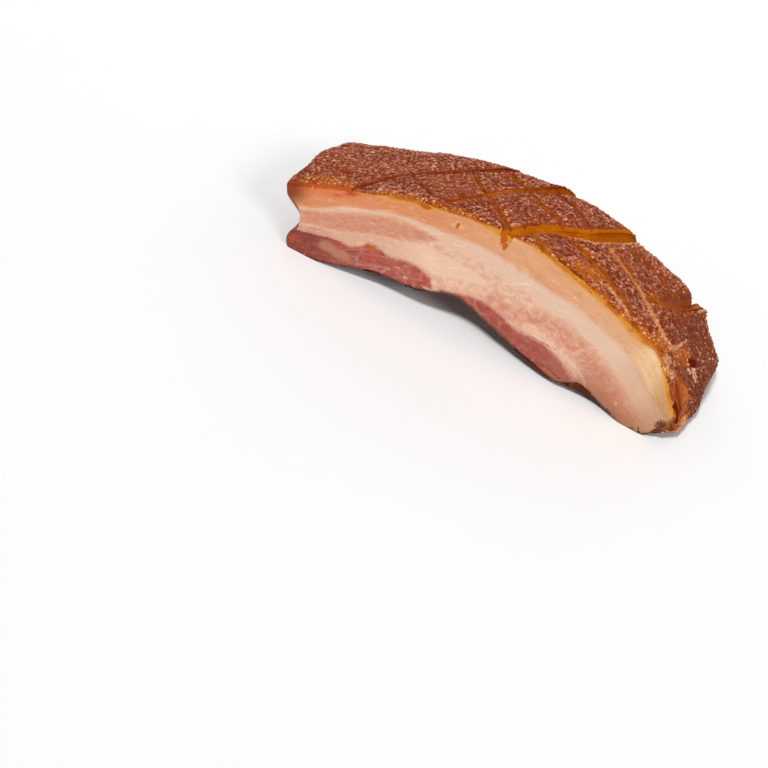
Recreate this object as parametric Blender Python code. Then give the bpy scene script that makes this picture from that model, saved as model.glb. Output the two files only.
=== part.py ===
"""A slab of smoked bacon, arched like a low bridge, with a scored rind on top.

Metres, +Z up. The fresh cut faces -Y, and the slab's length runs along X, with the end that
the rind wraps at +X. The origin is at the middle of its footprint, on the surface below it.

The slab is drawn in millimetres as a straight block, whose places are (along, back, up). The
block is rounded, bent into the arch and made uneven, and the knife cuts are taken out of it.
"""
import math
from bisect import bisect_right

import bmesh
import bpy
from mathutils import Vector, noise

MM = 0.001
NAME = "bacon_slab"

# The straight block
DEPTH = 96.0                    # from the cut face to the back
THICKNESS = 52.0                # from the meat side to the rind

# The cut face's outline, from the left end to the right: (across, height)
UNDER_POINTS = [(-123, 0), (-108, 0), (-92, 3), (-62, 13), (-34, 16), (-8, 25), (20, 17), (45, 9),
                (66, 4), (81, 10.5), (104, 2.5), (115, 0), (124, 0), (134, 7)]
OVER_POINTS = [(-132, 42), (-122, 46), (-95, 57), (-60, 71), (-28, 78.5), (18, 83), (49, 79.5),
               (92, 66), (114, 57.5), (128, 40), (138, 24), (140, 14)]

# Roundings of the block's edges
BACK_TOP_ROUND = 22.0
BACK_BOTTOM_ROUND = 12.0
FRONT_BOTTOM_ROUND = 0.8
LEFT_END_ROUND = 3.5
RIGHT_END_ROUND = 6.0
LEFT_PLAN_ROUND = 16.0
RIGHT_PLAN_ROUND = 24.0
FRONT_PLAN_ROUND = 2.0

# Slow shapes
CROWN = 4.0                     # how far the rind falls from the cut face to the back
CROWN_FROM = 110.0              # length over which that starts, from the left end
LEFT_BULGE = 8.0                # the left end swells out, most near half the depth
LEFT_CORNER = 4.0               # and again just behind its front corner
RIGHT_BULGE = 6.0               # the wrapped end swells out behind the cut face
RIGHT_TOE = 9.0                 # and its lower edge runs out further along the floor
END_ZONE = 60.0                 # length of slab that an end's bulge is drawn from
LIP_HOLLOW = 10.5               # meat shrunk back under the rind's overhanging left edge
LUMP = 0.9                      # height of the slow unevenness
LUMP_SIZE = 26.0
BACK_LUMP = 1.8                 # unevenness of the back and of the two ends
BACK_LUMP_SIZE = 36.0
CUT_MARGIN = 14.0               # depth over which the unevenness starts behind the cut face
FLOOR_BAND = 1.0                # what dips this low is pressed flat on the floor

# Cells of the block, and of the wedges that score it
CELLS_ALONG = 44
CELLS_BACK = 14
CELLS_UP = 8
WEDGE_CELL = 7.0
WEDGE_RISE = 3.0                # how far a wedge stands out of the rind
WEDGE_TIP = 0.2                 # a wedge's width at the bottom, as a share of that on the rind


def score(points, width, depth, taper):
    """A knife cut in the rind, through points (along, back).

    The taper is the share of the width and depth that is left at the start and at the end.
    """
    return {"points": points, "width": width, "depth": depth, "taper": taper}


# The first family of cuts rises from the cut face to the back, and the second one falls, so
# that they cross near a right angle. Both have opened where the slab bends most.
RISING = [
    score([(41, -4), (60, 28), (96, 56), (134, 104)], 2.2, 2.8, (0.9, 1.2)),
    score([(98, -4), (116, 26), (132, 52), (166, 104)], 2.6, 3.4, (0.9, 1.4)),
    score([(147, -4), (164, 20), (188, 45), (218, 104)], 8.5, 8.5, (0.6, 1.2)),
    score([(236, 34), (255, 57), (272, 104)], 9.0, 10.0, (0.12, 1.3)),
]
FALLING = [
    score([(14, 104), (43, 68), (72, 30), (116, -4)], 1.8, 2.2, (1.0, 0.9)),
    score([(64, 100), (103, 51), (128, 24), (155, -4)], 1.8, 2.2, (1.0, 0.9)),
    score([(84, 96), (116, 72), (148, 49), (170, 32)], 1.8, 2.2, (1.0, 0.9)),
    score([(118, 97), (140, 81), (161, 66), (184, 48)], 1.8, 2.2, (1.0, 0.9)),
    score([(161, 8), (167, 3), (175, -4)], 2.0, 2.4, (0.7, 1.0)),
    score([(176, 29), (196, 20), (219, 15), (242, -4)], 4.0, 2.8, (0.9, 0.8)),
    score([(192, 49), (214, 41), (244, 29), (268, 12)], 2.0, 1.8, (0.9, 0.8)),
    score([(204, 65), (231, 64), (248, 55)], 2.0, 1.8, (0.8, 0.8)),
]
# A fold in the skin where it wraps the right end
FOLD = score([(284, 9), (294, 8), (301, 10)], 3.0, 5.0, (0.5, 0.7))

# Beside the two open cuts the rind stands out (+) or is drawn down (-), more towards the
# back: the cut, the lift on its left, that on its right, and how far along it reaches
LIFTS = [(RISING[2], 2.0, -1.6, 11.0), (RISING[3], -4.4, 4.4, 14.0)]
LIFT_BLEND = 2.5

# A short split in the underside at the cut face
SPLIT_AT = 125.0
SPLIT_WIDTH = 1.6
SPLIT_HEIGHT = 9.0
SPLIT_LENGTH = 7.0

MEAT_COLOUR = (0.42, 0.17, 0.09)
MEAT_ROUGHNESS = 0.5


class Curve:
    """A smooth curve through a few flat points, walked by its own length."""

    def __init__(self, points, steps=20):
        knots = [Vector(point) for point in points]
        ends = [2 * knots[0] - knots[1], *knots, 2 * knots[-1] - knots[-2]]
        self.path = []
        for before, start, end, after in zip(ends, ends[1:], ends[2:], ends[3:]):
            for step in range(steps):
                self.path.append(self.between(before, start, end, after, step / steps))
        self.path.append(knots[-1])
        self.walked = [0.0]
        for first, second in zip(self.path, self.path[1:]):
            self.walked.append(self.walked[-1] + (second - first).length)
        self.length = self.walked[-1]

    @staticmethod
    def between(before, start, end, after, t):
        """A Catmull-Rom stretch, from start at 0 to end at 1."""
        bend = 2 * before - 5 * start + 4 * end - after
        swing = 3 * start - before - 3 * end + after
        return 0.5 * (2 * start + (end - before) * t + bend * t * t + swing * t ** 3)

    def at(self, distance):
        """The point so far along, on a straight line past either end."""
        step = bisect_right(self.walked, distance) - 1
        step = max(0, min(len(self.walked) - 2, step))
        span = self.walked[step + 1] - self.walked[step]
        share = (distance - self.walked[step]) / span
        return self.path[step] + (self.path[step + 1] - self.path[step]) * share


UNDER = Curve(UNDER_POINTS)
OVER = Curve(OVER_POINTS)
LENGTH = OVER.length


def clamp(value, low=0.0, high=1.0):
    return max(low, min(high, value))


def smooth(value, low, high):
    """0 below low, 1 above high and an even S between them."""
    t = clamp((value - low) / (high - low))
    return t * t * (3 - 2 * t)


def bump(value, centre, reach):
    """1 at the centre, falling evenly to 0 at the reach on both sides."""
    t = clamp(abs(value - centre) / reach)
    return 0.5 + 0.5 * math.cos(math.pi * t)


def lumps(point, size, seed):
    """Slow unevenness, about -1 to 1."""
    return noise.noise(point / size + Vector((seed, 0, seed)))


def soften(a, b, side_a, side_b, size_a, size_b, radius):
    """Round one corner of a rectangle: side is 1 for its high edge, at size, and -1 for its low
    one, at 0."""
    out_a = side_a * a + radius - (size_a if side_a > 0 else 0.0)
    out_b = side_b * b + radius - (size_b if side_b > 0 else 0.0)
    if out_a <= 0 or out_b <= 0:
        return a, b
    shrink = 1 - max(out_a, out_b) / math.hypot(out_a, out_b)
    return a - side_a * out_a * shrink, b - side_b * out_b * shrink


def round_block(along, back, up):
    """Round the block's long edges, then its corners in plan, then its end edges."""
    for side_back, side_up, radius in ((1, 1, BACK_TOP_ROUND), (1, -1, BACK_BOTTOM_ROUND),
                                       (-1, -1, FRONT_BOTTOM_ROUND)):
        back, up = soften(back, up, side_back, side_up, DEPTH, THICKNESS, radius)
    for side_along, side_back, radius in ((-1, 1, LEFT_PLAN_ROUND), (1, 1, RIGHT_PLAN_ROUND),
                                          (-1, -1, FRONT_PLAN_ROUND)):
        along, back = soften(along, back, side_along, side_back, LENGTH, DEPTH, radius)
    for side_along, radius in ((-1, LEFT_END_ROUND), (1, RIGHT_END_ROUND)):
        for side_up in (-1, 1):
            along, up = soften(along, up, side_along, side_up, LENGTH, THICKNESS, radius)
    return along, back, up


def section(along):
    """The outline's points under and over one place along the slab."""
    low = UNDER.at(along / LENGTH * UNDER.length)
    high = OVER.at(along)
    return Vector((low.x, 0, low.y)), Vector((high.x, 0, high.y))


def across_path(points, back):
    """Where a cut that rises steadily towards the back passes a given depth."""
    for (along_0, back_0), (along_1, back_1) in zip(points, points[1:]):
        if back <= back_1:
            return along_0 + (along_1 - along_0) * (back - back_0) / (back_1 - back_0)
    return points[-1][0]


def lift(along, back):
    """How far the rind stands out beside the open cuts."""
    height = 0.0
    for cut, left, right, reach in LIFTS:
        gap = along - across_path(cut["points"], back)
        side = left + (right - left) * smooth(gap, -LIFT_BLEND, LIFT_BLEND)
        height += side * smooth(back, 10.0, 0.75 * DEPTH) * math.exp(-abs(gap) / reach)
    return height


def bend(along, back, up):
    """Bend the rounded block into the arch and swell its ends."""
    low, high = section(along)
    height = clamp(up / THICKNESS)
    outward = (high - low).normalized()
    crown = CROWN * clamp(back / DEPTH) ** 2 * smooth(along, -0.3 * CROWN_FROM, CROWN_FROM)
    point = low.lerp(high, up / THICKNESS) - outward * crown * height
    point += outward * smooth(height, 0.6, 1.0) * lift(along, back)

    near_left = smooth(END_ZONE - along, 0.0, END_ZONE)
    point.x -= near_left * LEFT_BULGE * bump(back, 50.0, 50.0)
    point.x -= near_left * LEFT_CORNER * smooth(back, -8.0, 8.0) * smooth(42.0 - back, 0.0, 30.0)
    near_right = smooth(along, LENGTH - 0.5 * END_ZONE, LENGTH - 5.0)
    point.x += near_right * RIGHT_BULGE * smooth(back, 2.0, 45.0)
    toe = smooth(back, -1.0, 11.0) * (1 - 0.5 * smooth(back, 30.0, 70.0))
    point.x += near_right * RIGHT_TOE * toe * (1 - height)
    under_lip = smooth(height, 0.2, 0.5) * smooth(0.86 - height, 0.0, 0.16)
    point.x += LIP_HOLLOW * under_lip * smooth(12.0 - along, 0.0, 12.0)
    point.y = back
    return point, outward


def press_flat(height):
    """Flatten what is lower than the floor band, and ease in what lies just above it."""
    if height > 3 * FLOOR_BAND:
        return height
    return max(0.0, 1.5 * (height - FLOOR_BAND))


def slab_point(along, back, up):
    """A point of the slab, in mm, from its place in the straight block."""
    point, outward = bend(*round_block(along, back, up))
    inside = smooth(back, 0.0, CUT_MARGIN)
    slow = LUMP * lumps(point, LUMP_SIZE, 3.0)
    sideways = LUMP * lumps(point, LUMP_SIZE, 11.0)
    rear = BACK_LUMP * lumps(point, BACK_LUMP_SIZE, 19.0)
    ends = BACK_LUMP * lumps(point, BACK_LUMP_SIZE, 23.0)
    point += outward * slow * (0.35 + 0.65 * inside)
    point.y += 0.5 * sideways * (1 - inside) + rear * smooth(back, DEPTH - 30, DEPTH)
    point.x += ends * inside * (bump(along, 0.0, 25.0) + bump(along, LENGTH, 25.0))
    point.z = press_flat(point.z)
    return point


def rind_point(along, back):
    """A point of the rind; past the back edge it runs on down the back."""
    past = max(0.0, back - DEPTH)
    return slab_point(along, back - past, THICKNESS - past)


def rind_normal(along, back, reach=1.5):
    run = rind_point(along + reach, back) - rind_point(along - reach, back)
    rise = rind_point(along, back + reach) - rind_point(along, back - reach)
    return run.cross(rise).normalized()


def cell_box(along, back, up):
    """A cube from 0 to 1 with its faces divided into so many cells each way."""
    bm = bmesh.new()
    bmesh.ops.create_cube(bm, size=1.0)
    bmesh.ops.translate(bm, verts=bm.verts, vec=(0.5, 0.5, 0.5))
    for axis, cells in enumerate((along, back, up)):
        for step in range(1, cells):
            place = Vector((0, 0, 0))
            place[axis] = step / cells
            normal = Vector((0, 0, 0))
            normal[axis] = 1
            everything = bm.verts[:] + bm.edges[:] + bm.faces[:]
            bmesh.ops.bisect_plane(bm, geom=everything, dist=1e-6, plane_co=place, plane_no=normal)
    return bm


def make_object(bm, name, collection):
    """Turn millimetres into metres and put the mesh in the scene."""
    bmesh.ops.recalc_face_normals(bm, faces=bm.faces)
    bmesh.ops.scale(bm, verts=bm.verts, vec=(MM, MM, MM))
    mesh = bpy.data.meshes.new(name)
    bm.to_mesh(mesh)
    bm.free()
    obj = bpy.data.objects.new(name, mesh)
    collection.objects.link(obj)
    return obj


def make_slab(collection):
    bm = cell_box(CELLS_ALONG, CELLS_BACK, CELLS_UP)
    for vert in bm.verts:
        along, back, up = vert.co
        vert.co = slab_point(along * LENGTH, back * DEPTH, up * THICKNESS)
    slab = make_object(bm, NAME, collection)
    slab.data.materials.append(make_material())
    return slab


def make_wedge(name, cut, collection):
    """A long wedge that follows the rind, to take one knife cut out of it."""
    path = Curve(cut["points"])
    bm = cell_box(max(3, round(path.length / WEDGE_CELL)), 1, 1)
    start, end = cut["taper"]
    for vert in bm.verts:
        share, side, up = vert.co
        walked = share * path.length
        place = path.at(walked)
        run = rind_point(*path.at(walked + 1.0)) - rind_point(*path.at(walked - 1.0))
        outward = rind_normal(*place)
        sideways = outward.cross(run).normalized()
        size = start + (end - start) * share
        width = cut["width"] * size
        depth = cut["depth"] * size
        if up > 0.5:
            height = WEDGE_RISE
            width *= 1 + WEDGE_RISE / depth
        else:
            height = -depth
            width *= WEDGE_TIP
        vert.co = rind_point(*place) + outward * height + sideways * (side - 0.5) * width
    return make_object(bm, name, collection)


def make_split(collection):
    """A thin wedge that opens the underside at the cut face."""
    bm = cell_box(1, 1, 1)
    overlap = 3.0
    for vert in bm.verts:
        side, back, up = vert.co
        width = SPLIT_WIDTH * (1.3 - up)
        length = SPLIT_LENGTH * (1 - 0.4 * up)
        vert.co = Vector((SPLIT_AT - 1.5 * up + (side - 0.5) * width,
                          back * (length + overlap) - overlap,
                          up * (SPLIT_HEIGHT + overlap) - overlap))
    return make_object(bm, "split", collection)


def make_material():
    material = bpy.data.materials.new("smoked_meat")
    material.use_nodes = True
    shader = material.node_tree.nodes["Principled BSDF"]
    shader.inputs["Base Color"].default_value = (*MEAT_COLOUR, 1)
    shader.inputs["Roughness"].default_value = MEAT_ROUGHNESS
    shader.inputs["Metallic"].default_value = 0.0
    return material


def make_cutters(collection):
    for number, cut in enumerate(RISING + FALLING):
        make_wedge("score_%02d" % number, cut, collection)
    make_wedge("fold", FOLD, collection)
    make_split(collection)
    for cutter in collection.objects:
        cutter.hide_render = True
        cutter.display_type = "WIRE"


def stand_on_origin(slab, cutters):
    """Put the middle of the slab's footprint on the origin."""
    xs = [vert.co.x for vert in slab.data.vertices]
    ys = [vert.co.y for vert in slab.data.vertices]
    middle = (0.5 * (min(xs) + max(xs)), 0.5 * (min(ys) + max(ys)))
    for obj in [slab, *cutters.objects]:
        obj.location = (-middle[0], -middle[1], 0)


def main():
    for obj in list(bpy.data.objects):
        bpy.data.objects.remove(obj, do_unlink=True)
    parts = bpy.data.collections.new("bacon slab")
    cutters = bpy.data.collections.new("cutters")
    for collection in (parts, cutters):
        bpy.context.scene.collection.children.link(collection)

    slab = make_slab(parts)
    make_cutters(cutters)
    stand_on_origin(slab, cutters)

    scoring = slab.modifiers.new("scoring", "BOOLEAN")
    scoring.operation = "DIFFERENCE"
    scoring.operand_type = "COLLECTION"
    scoring.collection = cutters
    slab.data.shade_smooth()
    slab.data.set_sharp_from_angle(angle=math.radians(35))


main()
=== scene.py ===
"""Looks of a slab of smoked bacon: a scored, pimpled rind over a fresh cut of fat and lean.

The slab is drawn in millimetres as a straight block, whose places are (along, back, up), and is
bent into its arch by the same rules as its solid. Four closed pieces stand for the solid: three
stretches of rind, which meet at the bottom of the two open cuts, and the meat below them.
"""
import math

import bmesh
import bpy
import numpy as np
from mathutils import Matrix, Vector, noise


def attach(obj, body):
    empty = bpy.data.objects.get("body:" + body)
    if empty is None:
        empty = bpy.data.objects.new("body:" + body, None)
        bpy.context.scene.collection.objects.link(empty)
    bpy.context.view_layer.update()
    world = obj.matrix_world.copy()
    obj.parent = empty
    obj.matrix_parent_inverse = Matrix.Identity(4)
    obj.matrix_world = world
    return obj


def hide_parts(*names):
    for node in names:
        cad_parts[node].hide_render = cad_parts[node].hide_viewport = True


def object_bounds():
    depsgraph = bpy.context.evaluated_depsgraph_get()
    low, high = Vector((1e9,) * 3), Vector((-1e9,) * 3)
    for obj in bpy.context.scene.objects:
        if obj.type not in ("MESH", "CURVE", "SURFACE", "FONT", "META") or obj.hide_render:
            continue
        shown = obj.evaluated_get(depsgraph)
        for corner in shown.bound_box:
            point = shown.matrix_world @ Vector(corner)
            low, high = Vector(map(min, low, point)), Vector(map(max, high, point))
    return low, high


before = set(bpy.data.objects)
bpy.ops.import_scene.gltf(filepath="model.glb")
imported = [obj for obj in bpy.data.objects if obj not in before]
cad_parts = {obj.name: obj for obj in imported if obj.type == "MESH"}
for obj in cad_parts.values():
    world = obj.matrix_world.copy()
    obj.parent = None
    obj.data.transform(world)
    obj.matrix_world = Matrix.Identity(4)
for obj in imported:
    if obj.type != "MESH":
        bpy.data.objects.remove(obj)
cad_low, cad_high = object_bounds()

MM = 0.001
NODE = "bacon_slab"

# ---------------------------------------------------------------- the slab's form, as its solid

DEPTH = 96.0
THICKNESS = 52.0
UNDER_POINTS = [(-123, 0), (-108, 0), (-92, 3), (-62, 13), (-34, 16), (-8, 25), (20, 17), (45, 9),
                (66, 4), (81, 10.5), (104, 2.5), (115, 0), (124, 0), (134, 7)]
OVER_POINTS = [(-132, 42), (-122, 46), (-95, 57), (-60, 71), (-28, 78.5), (18, 83), (49, 79.5),
               (92, 66), (114, 57.5), (128, 40), (138, 24), (140, 14)]
MIDDLE = (3.620, 48.325)            # what the solid was moved by, to stand on the origin

BACK_TOP_ROUND = 22.0
BACK_BOTTOM_ROUND = 12.0
FRONT_BOTTOM_ROUND = 0.8
LEFT_END_ROUND = 3.5
RIGHT_END_ROUND = 6.0
LEFT_PLAN_ROUND = 16.0
RIGHT_PLAN_ROUND = 24.0
FRONT_PLAN_ROUND = 2.0

CROWN = 4.0                         # how far the back of the top falls from the arch's line
CROWN_FROM = 110.0
LEFT_BULGE = 8.0
LEFT_CORNER = 4.0
RIGHT_BULGE = 6.0
RIGHT_TOE = 9.0
END_ZONE = 60.0
LIP_HOLLOW = 10.5
LUMP = 0.9
LUMP_SIZE = 26.0
BACK_LUMP = 1.8
BACK_LUMP_SIZE = 36.0               # the back and the ends are more uneven than the rest
CUT_MARGIN = 14.0
FLOOR_BAND = 1.0
WEDGE_TIP = 0.2


def score(points, width, depth, taper, tone=0.3, far_edge=None, curl=0.0):
    """A knife cut in the rind, through points (along, back), with its width's and depth's share
    at even steps of its length.

    The tone is 0 where its inside is dark, and 1 where it is pale amber. An open cut has a far
    side that slopes from its far edge, in half widths off its middle, and curls over there.
    """
    return {"points": points, "width": width, "depth": depth, "taper": taper, "tone": tone,
            "far_edge": far_edge, "curl": curl}


RISING = [
    score([(41, -4), (60, 28), (96, 56), (138, 104)], 3.0, 2.6, (0.5, 1.0, 1.1, 0.9, 0.8), 0.22),
    score([(98, -4), (116, 26), (132, 52), (173, 104)], 3.0, 2.8,
          (0.6, 0.7, 0.6, 0.6, 0.9, 1.8), 0.74, 1.0, 0.2),
    score([(146, -4), (162, 20), (186, 45), (217, 104)], 9.5, 5.0,
          (0.55, 0.85, 1.0, 1.0, 1.0), 0.85, 1.0, 0.1),
    score([(237, 32), (247, 45), (255, 58), (272, 104)], 10.0, 7.5,
          (0.4, 0.9, 1.1, 1.1, 1.1), 0.56, 1.9, 0.85),
]
FALLING = [
    score([(14, 104), (43, 68), (72, 30), (116, -4)], 1.5, 1.3,
          (0.0, 0.03, 0.1, 0.5, 0.7, 0.5), 0.1),
    score([(64, 100), (103, 51), (128, 24), (155, -4)], 1.7, 1.7,
          (0.0, 0.1, 0.3, 1.0, 1.0, 0.8), 0.48),
    score([(84, 96), (116, 72), (148, 49), (170, 32)], 2.0, 1.9, (0.1, 0.3, 0.9, 1.0), 0.48),
    score([(118, 97), (140, 81), (161, 66), (184, 48)], 1.8, 1.8, (0.5, 0.7, 0.9, 1.0), 0.25),
    score([(161, 8), (167, 3), (175, -4)], 1.9, 2.2, (0.7, 1.0), 0.6),
    score([(176, 29), (196, 20), (219, 15), (242, -4)], 3.2, 2.2, (0.9, 1.0, 0.8, 0.6), 0.5),
    score([(198, 47), (214, 40), (229, 33), (241, 21.5), (254, 13)], 1.2, 1.0,
          (0.6, 1.0, 1.0, 0.5), 1.0),
    score([(204, 65), (231, 64), (248, 55)], 1.1, 1.1, (0.8, 0.8), 0.4),
]
FOLD = score([(284, 9), (294, 8), (301, 10)], 3.0, 5.0, (0.5, 0.7), 0.2)
LEFT_OPEN = RISING[2]
RIGHT_OPEN = RISING[3]
# How far the rind stands out left and right of a cut, over what reach, and the depths from and to
# which it grows
LIFTS = [(LEFT_OPEN, 2.0, -1.6, 11.0, 10.0, 72.0), (RIGHT_OPEN, -4.4, 4.4, 14.0, 10.0, 72.0),
         (LEFT_OPEN, 3.0, -0.4, 8.0, 76.0, 92.0), (RISING[1], 2.2, -4.0, 9.0, 40.0, 84.0),
         (RISING[0], 0.9, -1.4, 8.0, 50.0, 84.0)]
TONGUE = (45.0, 17.0, 3.4, 9.0)     # back, reach, lift and width of the tongue beside the right cut
LIFT_BLEND = 2.5                    # half the width over which one side's lift turns to the other's
NEAR_FOOT = 0.93                    # where an open cut is deepest, in half widths off its middle


class Curve:
    """A smooth curve through a few flat points, walked by its own length."""

    def __init__(self, points, steps=20):
        knots = np.array(points, float)
        ends = np.vstack([2 * knots[0] - knots[1], knots, 2 * knots[-1] - knots[-2]])
        t = (np.arange(steps) / steps)[:, None]
        spans = []
        for before, start, end, after in zip(ends, ends[1:], ends[2:], ends[3:]):
            bend = 2 * before - 5 * start + 4 * end - after
            swing = 3 * start - before - 3 * end + after
            spans.append(0.5 * (2 * start + (end - before) * t + bend * t * t + swing * t ** 3))
        self.path = np.vstack([*spans, knots[-1]])
        lengths = np.hypot(*np.diff(self.path, axis=0).T)
        self.walked = np.concatenate([[0.0], np.cumsum(lengths)])
        self.length = self.walked[-1]

    def at(self, distance):
        """The points so far along, on a straight line past either end."""
        step = np.searchsorted(self.walked, distance, side="right") - 1
        step = np.clip(step, 0, len(self.walked) - 2)
        span = self.walked[step + 1] - self.walked[step]
        share = ((distance - self.walked[step]) / span)[..., None]
        return self.path[step] + (self.path[step + 1] - self.path[step]) * share


UNDER = Curve(UNDER_POINTS)
OVER = Curve(OVER_POINTS)
LENGTH = OVER.length


def smooth(value, low, high):
    """0 below low, 1 above high and an even S between them."""
    t = np.clip((value - low) / (high - low), 0.0, 1.0)
    return t * t * (3 - 2 * t)


def bump(value, centre, reach):
    """1 at the centre, falling evenly to 0 at the reach on both sides."""
    t = np.clip(np.abs(value - centre) / reach, 0.0, 1.0)
    return 0.5 + 0.5 * np.cos(np.pi * t)


def lumps(points, size, seed):
    """Slow unevenness, about -1 to 1, the same as the solid has."""
    shifted = points / size + np.array([seed, 0.0, seed])
    return np.array([noise.noise(place) for place in shifted.tolist()])


def soften(a, b, side_a, side_b, size_a, size_b, radius):
    """Round one corner of a rectangle."""
    out_a = side_a * a + radius - (size_a if side_a > 0 else 0.0)
    out_b = side_b * b + radius - (size_b if side_b > 0 else 0.0)
    far = np.maximum(np.hypot(out_a, out_b), 1e-9)
    outside = (out_a > 0) & (out_b > 0)
    shrink = np.where(outside, 1 - np.maximum(out_a, out_b) / far, 0.0)
    return a - side_a * out_a * shrink, b - side_b * out_b * shrink


def round_block(along, back, up):
    """Round the block's long edges, then its corners in plan, then its end edges."""
    for side_back, side_up, radius in ((1, 1, BACK_TOP_ROUND), (1, -1, BACK_BOTTOM_ROUND),
                                       (-1, -1, FRONT_BOTTOM_ROUND)):
        back, up = soften(back, up, side_back, side_up, DEPTH, THICKNESS, radius)
    for side_along, side_back, radius in ((-1, 1, LEFT_PLAN_ROUND), (1, 1, RIGHT_PLAN_ROUND),
                                          (-1, -1, FRONT_PLAN_ROUND)):
        along, back = soften(along, back, side_along, side_back, LENGTH, DEPTH, radius)
    for side_along, radius in ((-1, LEFT_END_ROUND), (1, RIGHT_END_ROUND)):
        for side_up in (-1, 1):
            along, up = soften(along, up, side_along, side_up, LENGTH, THICKNESS, radius)
    return along, back, up


def across_path(points, back):
    """Where a cut that rises steadily towards the back passes a given depth."""
    alongs, backs = zip(*points)
    inside = np.interp(back, backs, alongs)
    slope = (alongs[1] - alongs[0]) / (backs[1] - backs[0])
    return np.where(back < backs[0], alongs[0] + (back - backs[0]) * slope, inside)


def lift(along, back):
    """How far the rind stands out beside the open cuts."""
    height = 0.0
    for cut, left, right, reach, start, full in LIFTS:
        gap = along - across_path(cut["points"], back)
        blend = min(LIFT_BLEND, 0.5 * cut["width"])
        side = left + (right - left) * smooth(gap, -blend, blend)
        height = height + side * smooth(back, start, full) * np.exp(-np.abs(gap) / reach)
    return height


def bend(along, back, up):
    """Bend the rounded block into the arch and swell its ends."""
    low = UNDER.at(along / LENGTH * UNDER.length)
    high = OVER.at(along)
    height = np.clip(up / THICKNESS, 0.0, 1.0)
    outward = (high - low) / np.hypot(*(high - low).T)[:, None]
    crown = CROWN * np.clip(back / DEPTH, 0, 1) ** 2 * smooth(along, -0.3 * CROWN_FROM, CROWN_FROM)
    rise = smooth(height, 0.6, 1.0) * lift(along, back) - crown * height
    flat = low + (high - low) * (up / THICKNESS)[:, None] + outward * rise[:, None]

    x = flat[:, 0]
    near_left = smooth(END_ZONE - along, 0.0, END_ZONE)
    x = x - near_left * LEFT_BULGE * bump(back, 50.0, 50.0)
    x = x - near_left * LEFT_CORNER * smooth(back, -8.0, 8.0) * smooth(42.0 - back, 0.0, 30.0)
    near_right = smooth(along, LENGTH - 0.5 * END_ZONE, LENGTH - 5.0)
    x = x + near_right * RIGHT_BULGE * smooth(back, 2.0, 45.0)
    toe = smooth(back, -1.0, 11.0) * (1 - 0.5 * smooth(back, 30.0, 70.0))
    x = x + near_right * RIGHT_TOE * toe * (1 - height)
    under_lip = smooth(height, 0.1, 0.54) * smooth(0.86 - height, 0.0, 0.28)
    x = x + LIP_HOLLOW * under_lip * smooth(12.0 - along, 0.0, 12.0)
    return np.stack([x, back, flat[:, 1]], 1), np.stack([outward[:, 0], 0 * x, outward[:, 1]], 1)


def slab_points(places):
    """Points of the slab, in mm, from their places in the straight block."""
    shape = places.shape
    places = places.reshape(-1, 3)
    along, back = places[:, 0], places[:, 1]
    points, outward = bend(*round_block(*places.T))
    inside = smooth(back, 0.0, CUT_MARGIN)
    slow = LUMP * lumps(points, LUMP_SIZE, 3.0)
    sideways = LUMP * lumps(points, LUMP_SIZE, 11.0)
    rear = BACK_LUMP * lumps(points, BACK_LUMP_SIZE, 19.0)
    ends = BACK_LUMP * lumps(points, BACK_LUMP_SIZE, 23.0)
    points = points + outward * (slow * (0.35 + 0.65 * inside))[:, None]
    points[:, 1] += 0.5 * sideways * (1 - inside) + rear * smooth(back, DEPTH - 30, DEPTH)
    points[:, 0] += ends * inside * (bump(along, 0.0, 25.0) + bump(along, LENGTH, 25.0))
    height = points[:, 2]
    pressed = np.maximum(0.0, 1.5 * (height - FLOOR_BAND))
    points[:, 2] = np.where(height > 3 * FLOOR_BAND, height, pressed)
    return points.reshape(shape)


# ---------------------------------------------------------------- the finer shapes

TOP_CELL = 0.48                     # size of the rind's cells
CUT_CELLS = 14                      # cells over one side of an open cut
CUT_SHOULDER = 1.5                  # how far those cells reach past the cut's edge
STRETCH_WIDTHS = {"left": 150, "middle": 47, "right": 96}
BACK_CELLS = 36                     # cells from the back edge down to the rind's lower edge
END_CELLS = 34                      # cells down the wrapped end
BAND_CELLS = 8                      # cells down the band on the cut face, but for the left one
FACE_ROWS = 92                      # rows of cells up the cut face
BODY_CELL = 1.6                     # size of the smoked sides' cells
SIDE_HEIGHT = 38.0                  # about how high the smoked left end and back are
LOW_HOLLOW = 6.0                    # how far the left end draws in near the floor
BODY_FRONT = 0.5                    # where the coarser cells start behind the cut face
HIDDEN_DEPTH = 13.5                 # how far below the rind the pieces meet, out of sight
HIDDEN_FOOT = 4.0                   # how high over the floor that ends behind the wrapped end
NOTCH_REACH = 16.0                  # how far down the cut face the rind's cuts pull it
BEVEL = 4.2                         # how far the curled skin's front edge lies back
BEVEL_REACH = 6.0                   # over which that fades towards the back

RIND_EDGE_BACK = [(0, 36), (45, 29), (110, 31), (170, 27), (230, 30), (270, 24), (288, 13),
                  (299, 3), (309, 0)]
BAND_FRONT = [(0, 9.0), (9, 8.6), (15, 6.4), (25, 4.2), (40, 2.6), (60, 2.0), (105, 2.4),
              (150, 2.2), (200, 2.4), (250, 2.8), (290, 3.0), (309, 4.5)]
BAND_LEFT = [(0, 9.0), (30, 7.5), (60, 9.0), (96, 16.0)]
BAND_RIGHT = [(0, 5.0), (8, 7.0), (20, 9.5), (30, 8.0), (40, 6.0), (52, 5.0)]
CORNER_REACH = 15.0                 # over which the band turns the wrapped end's corner

TOP_BACKS = np.concatenate([[0.0, 0.25, 0.55, 0.95],
                            np.linspace(1.45, DEPTH, round((DEPTH - 1.45) / TOP_CELL))])

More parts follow.
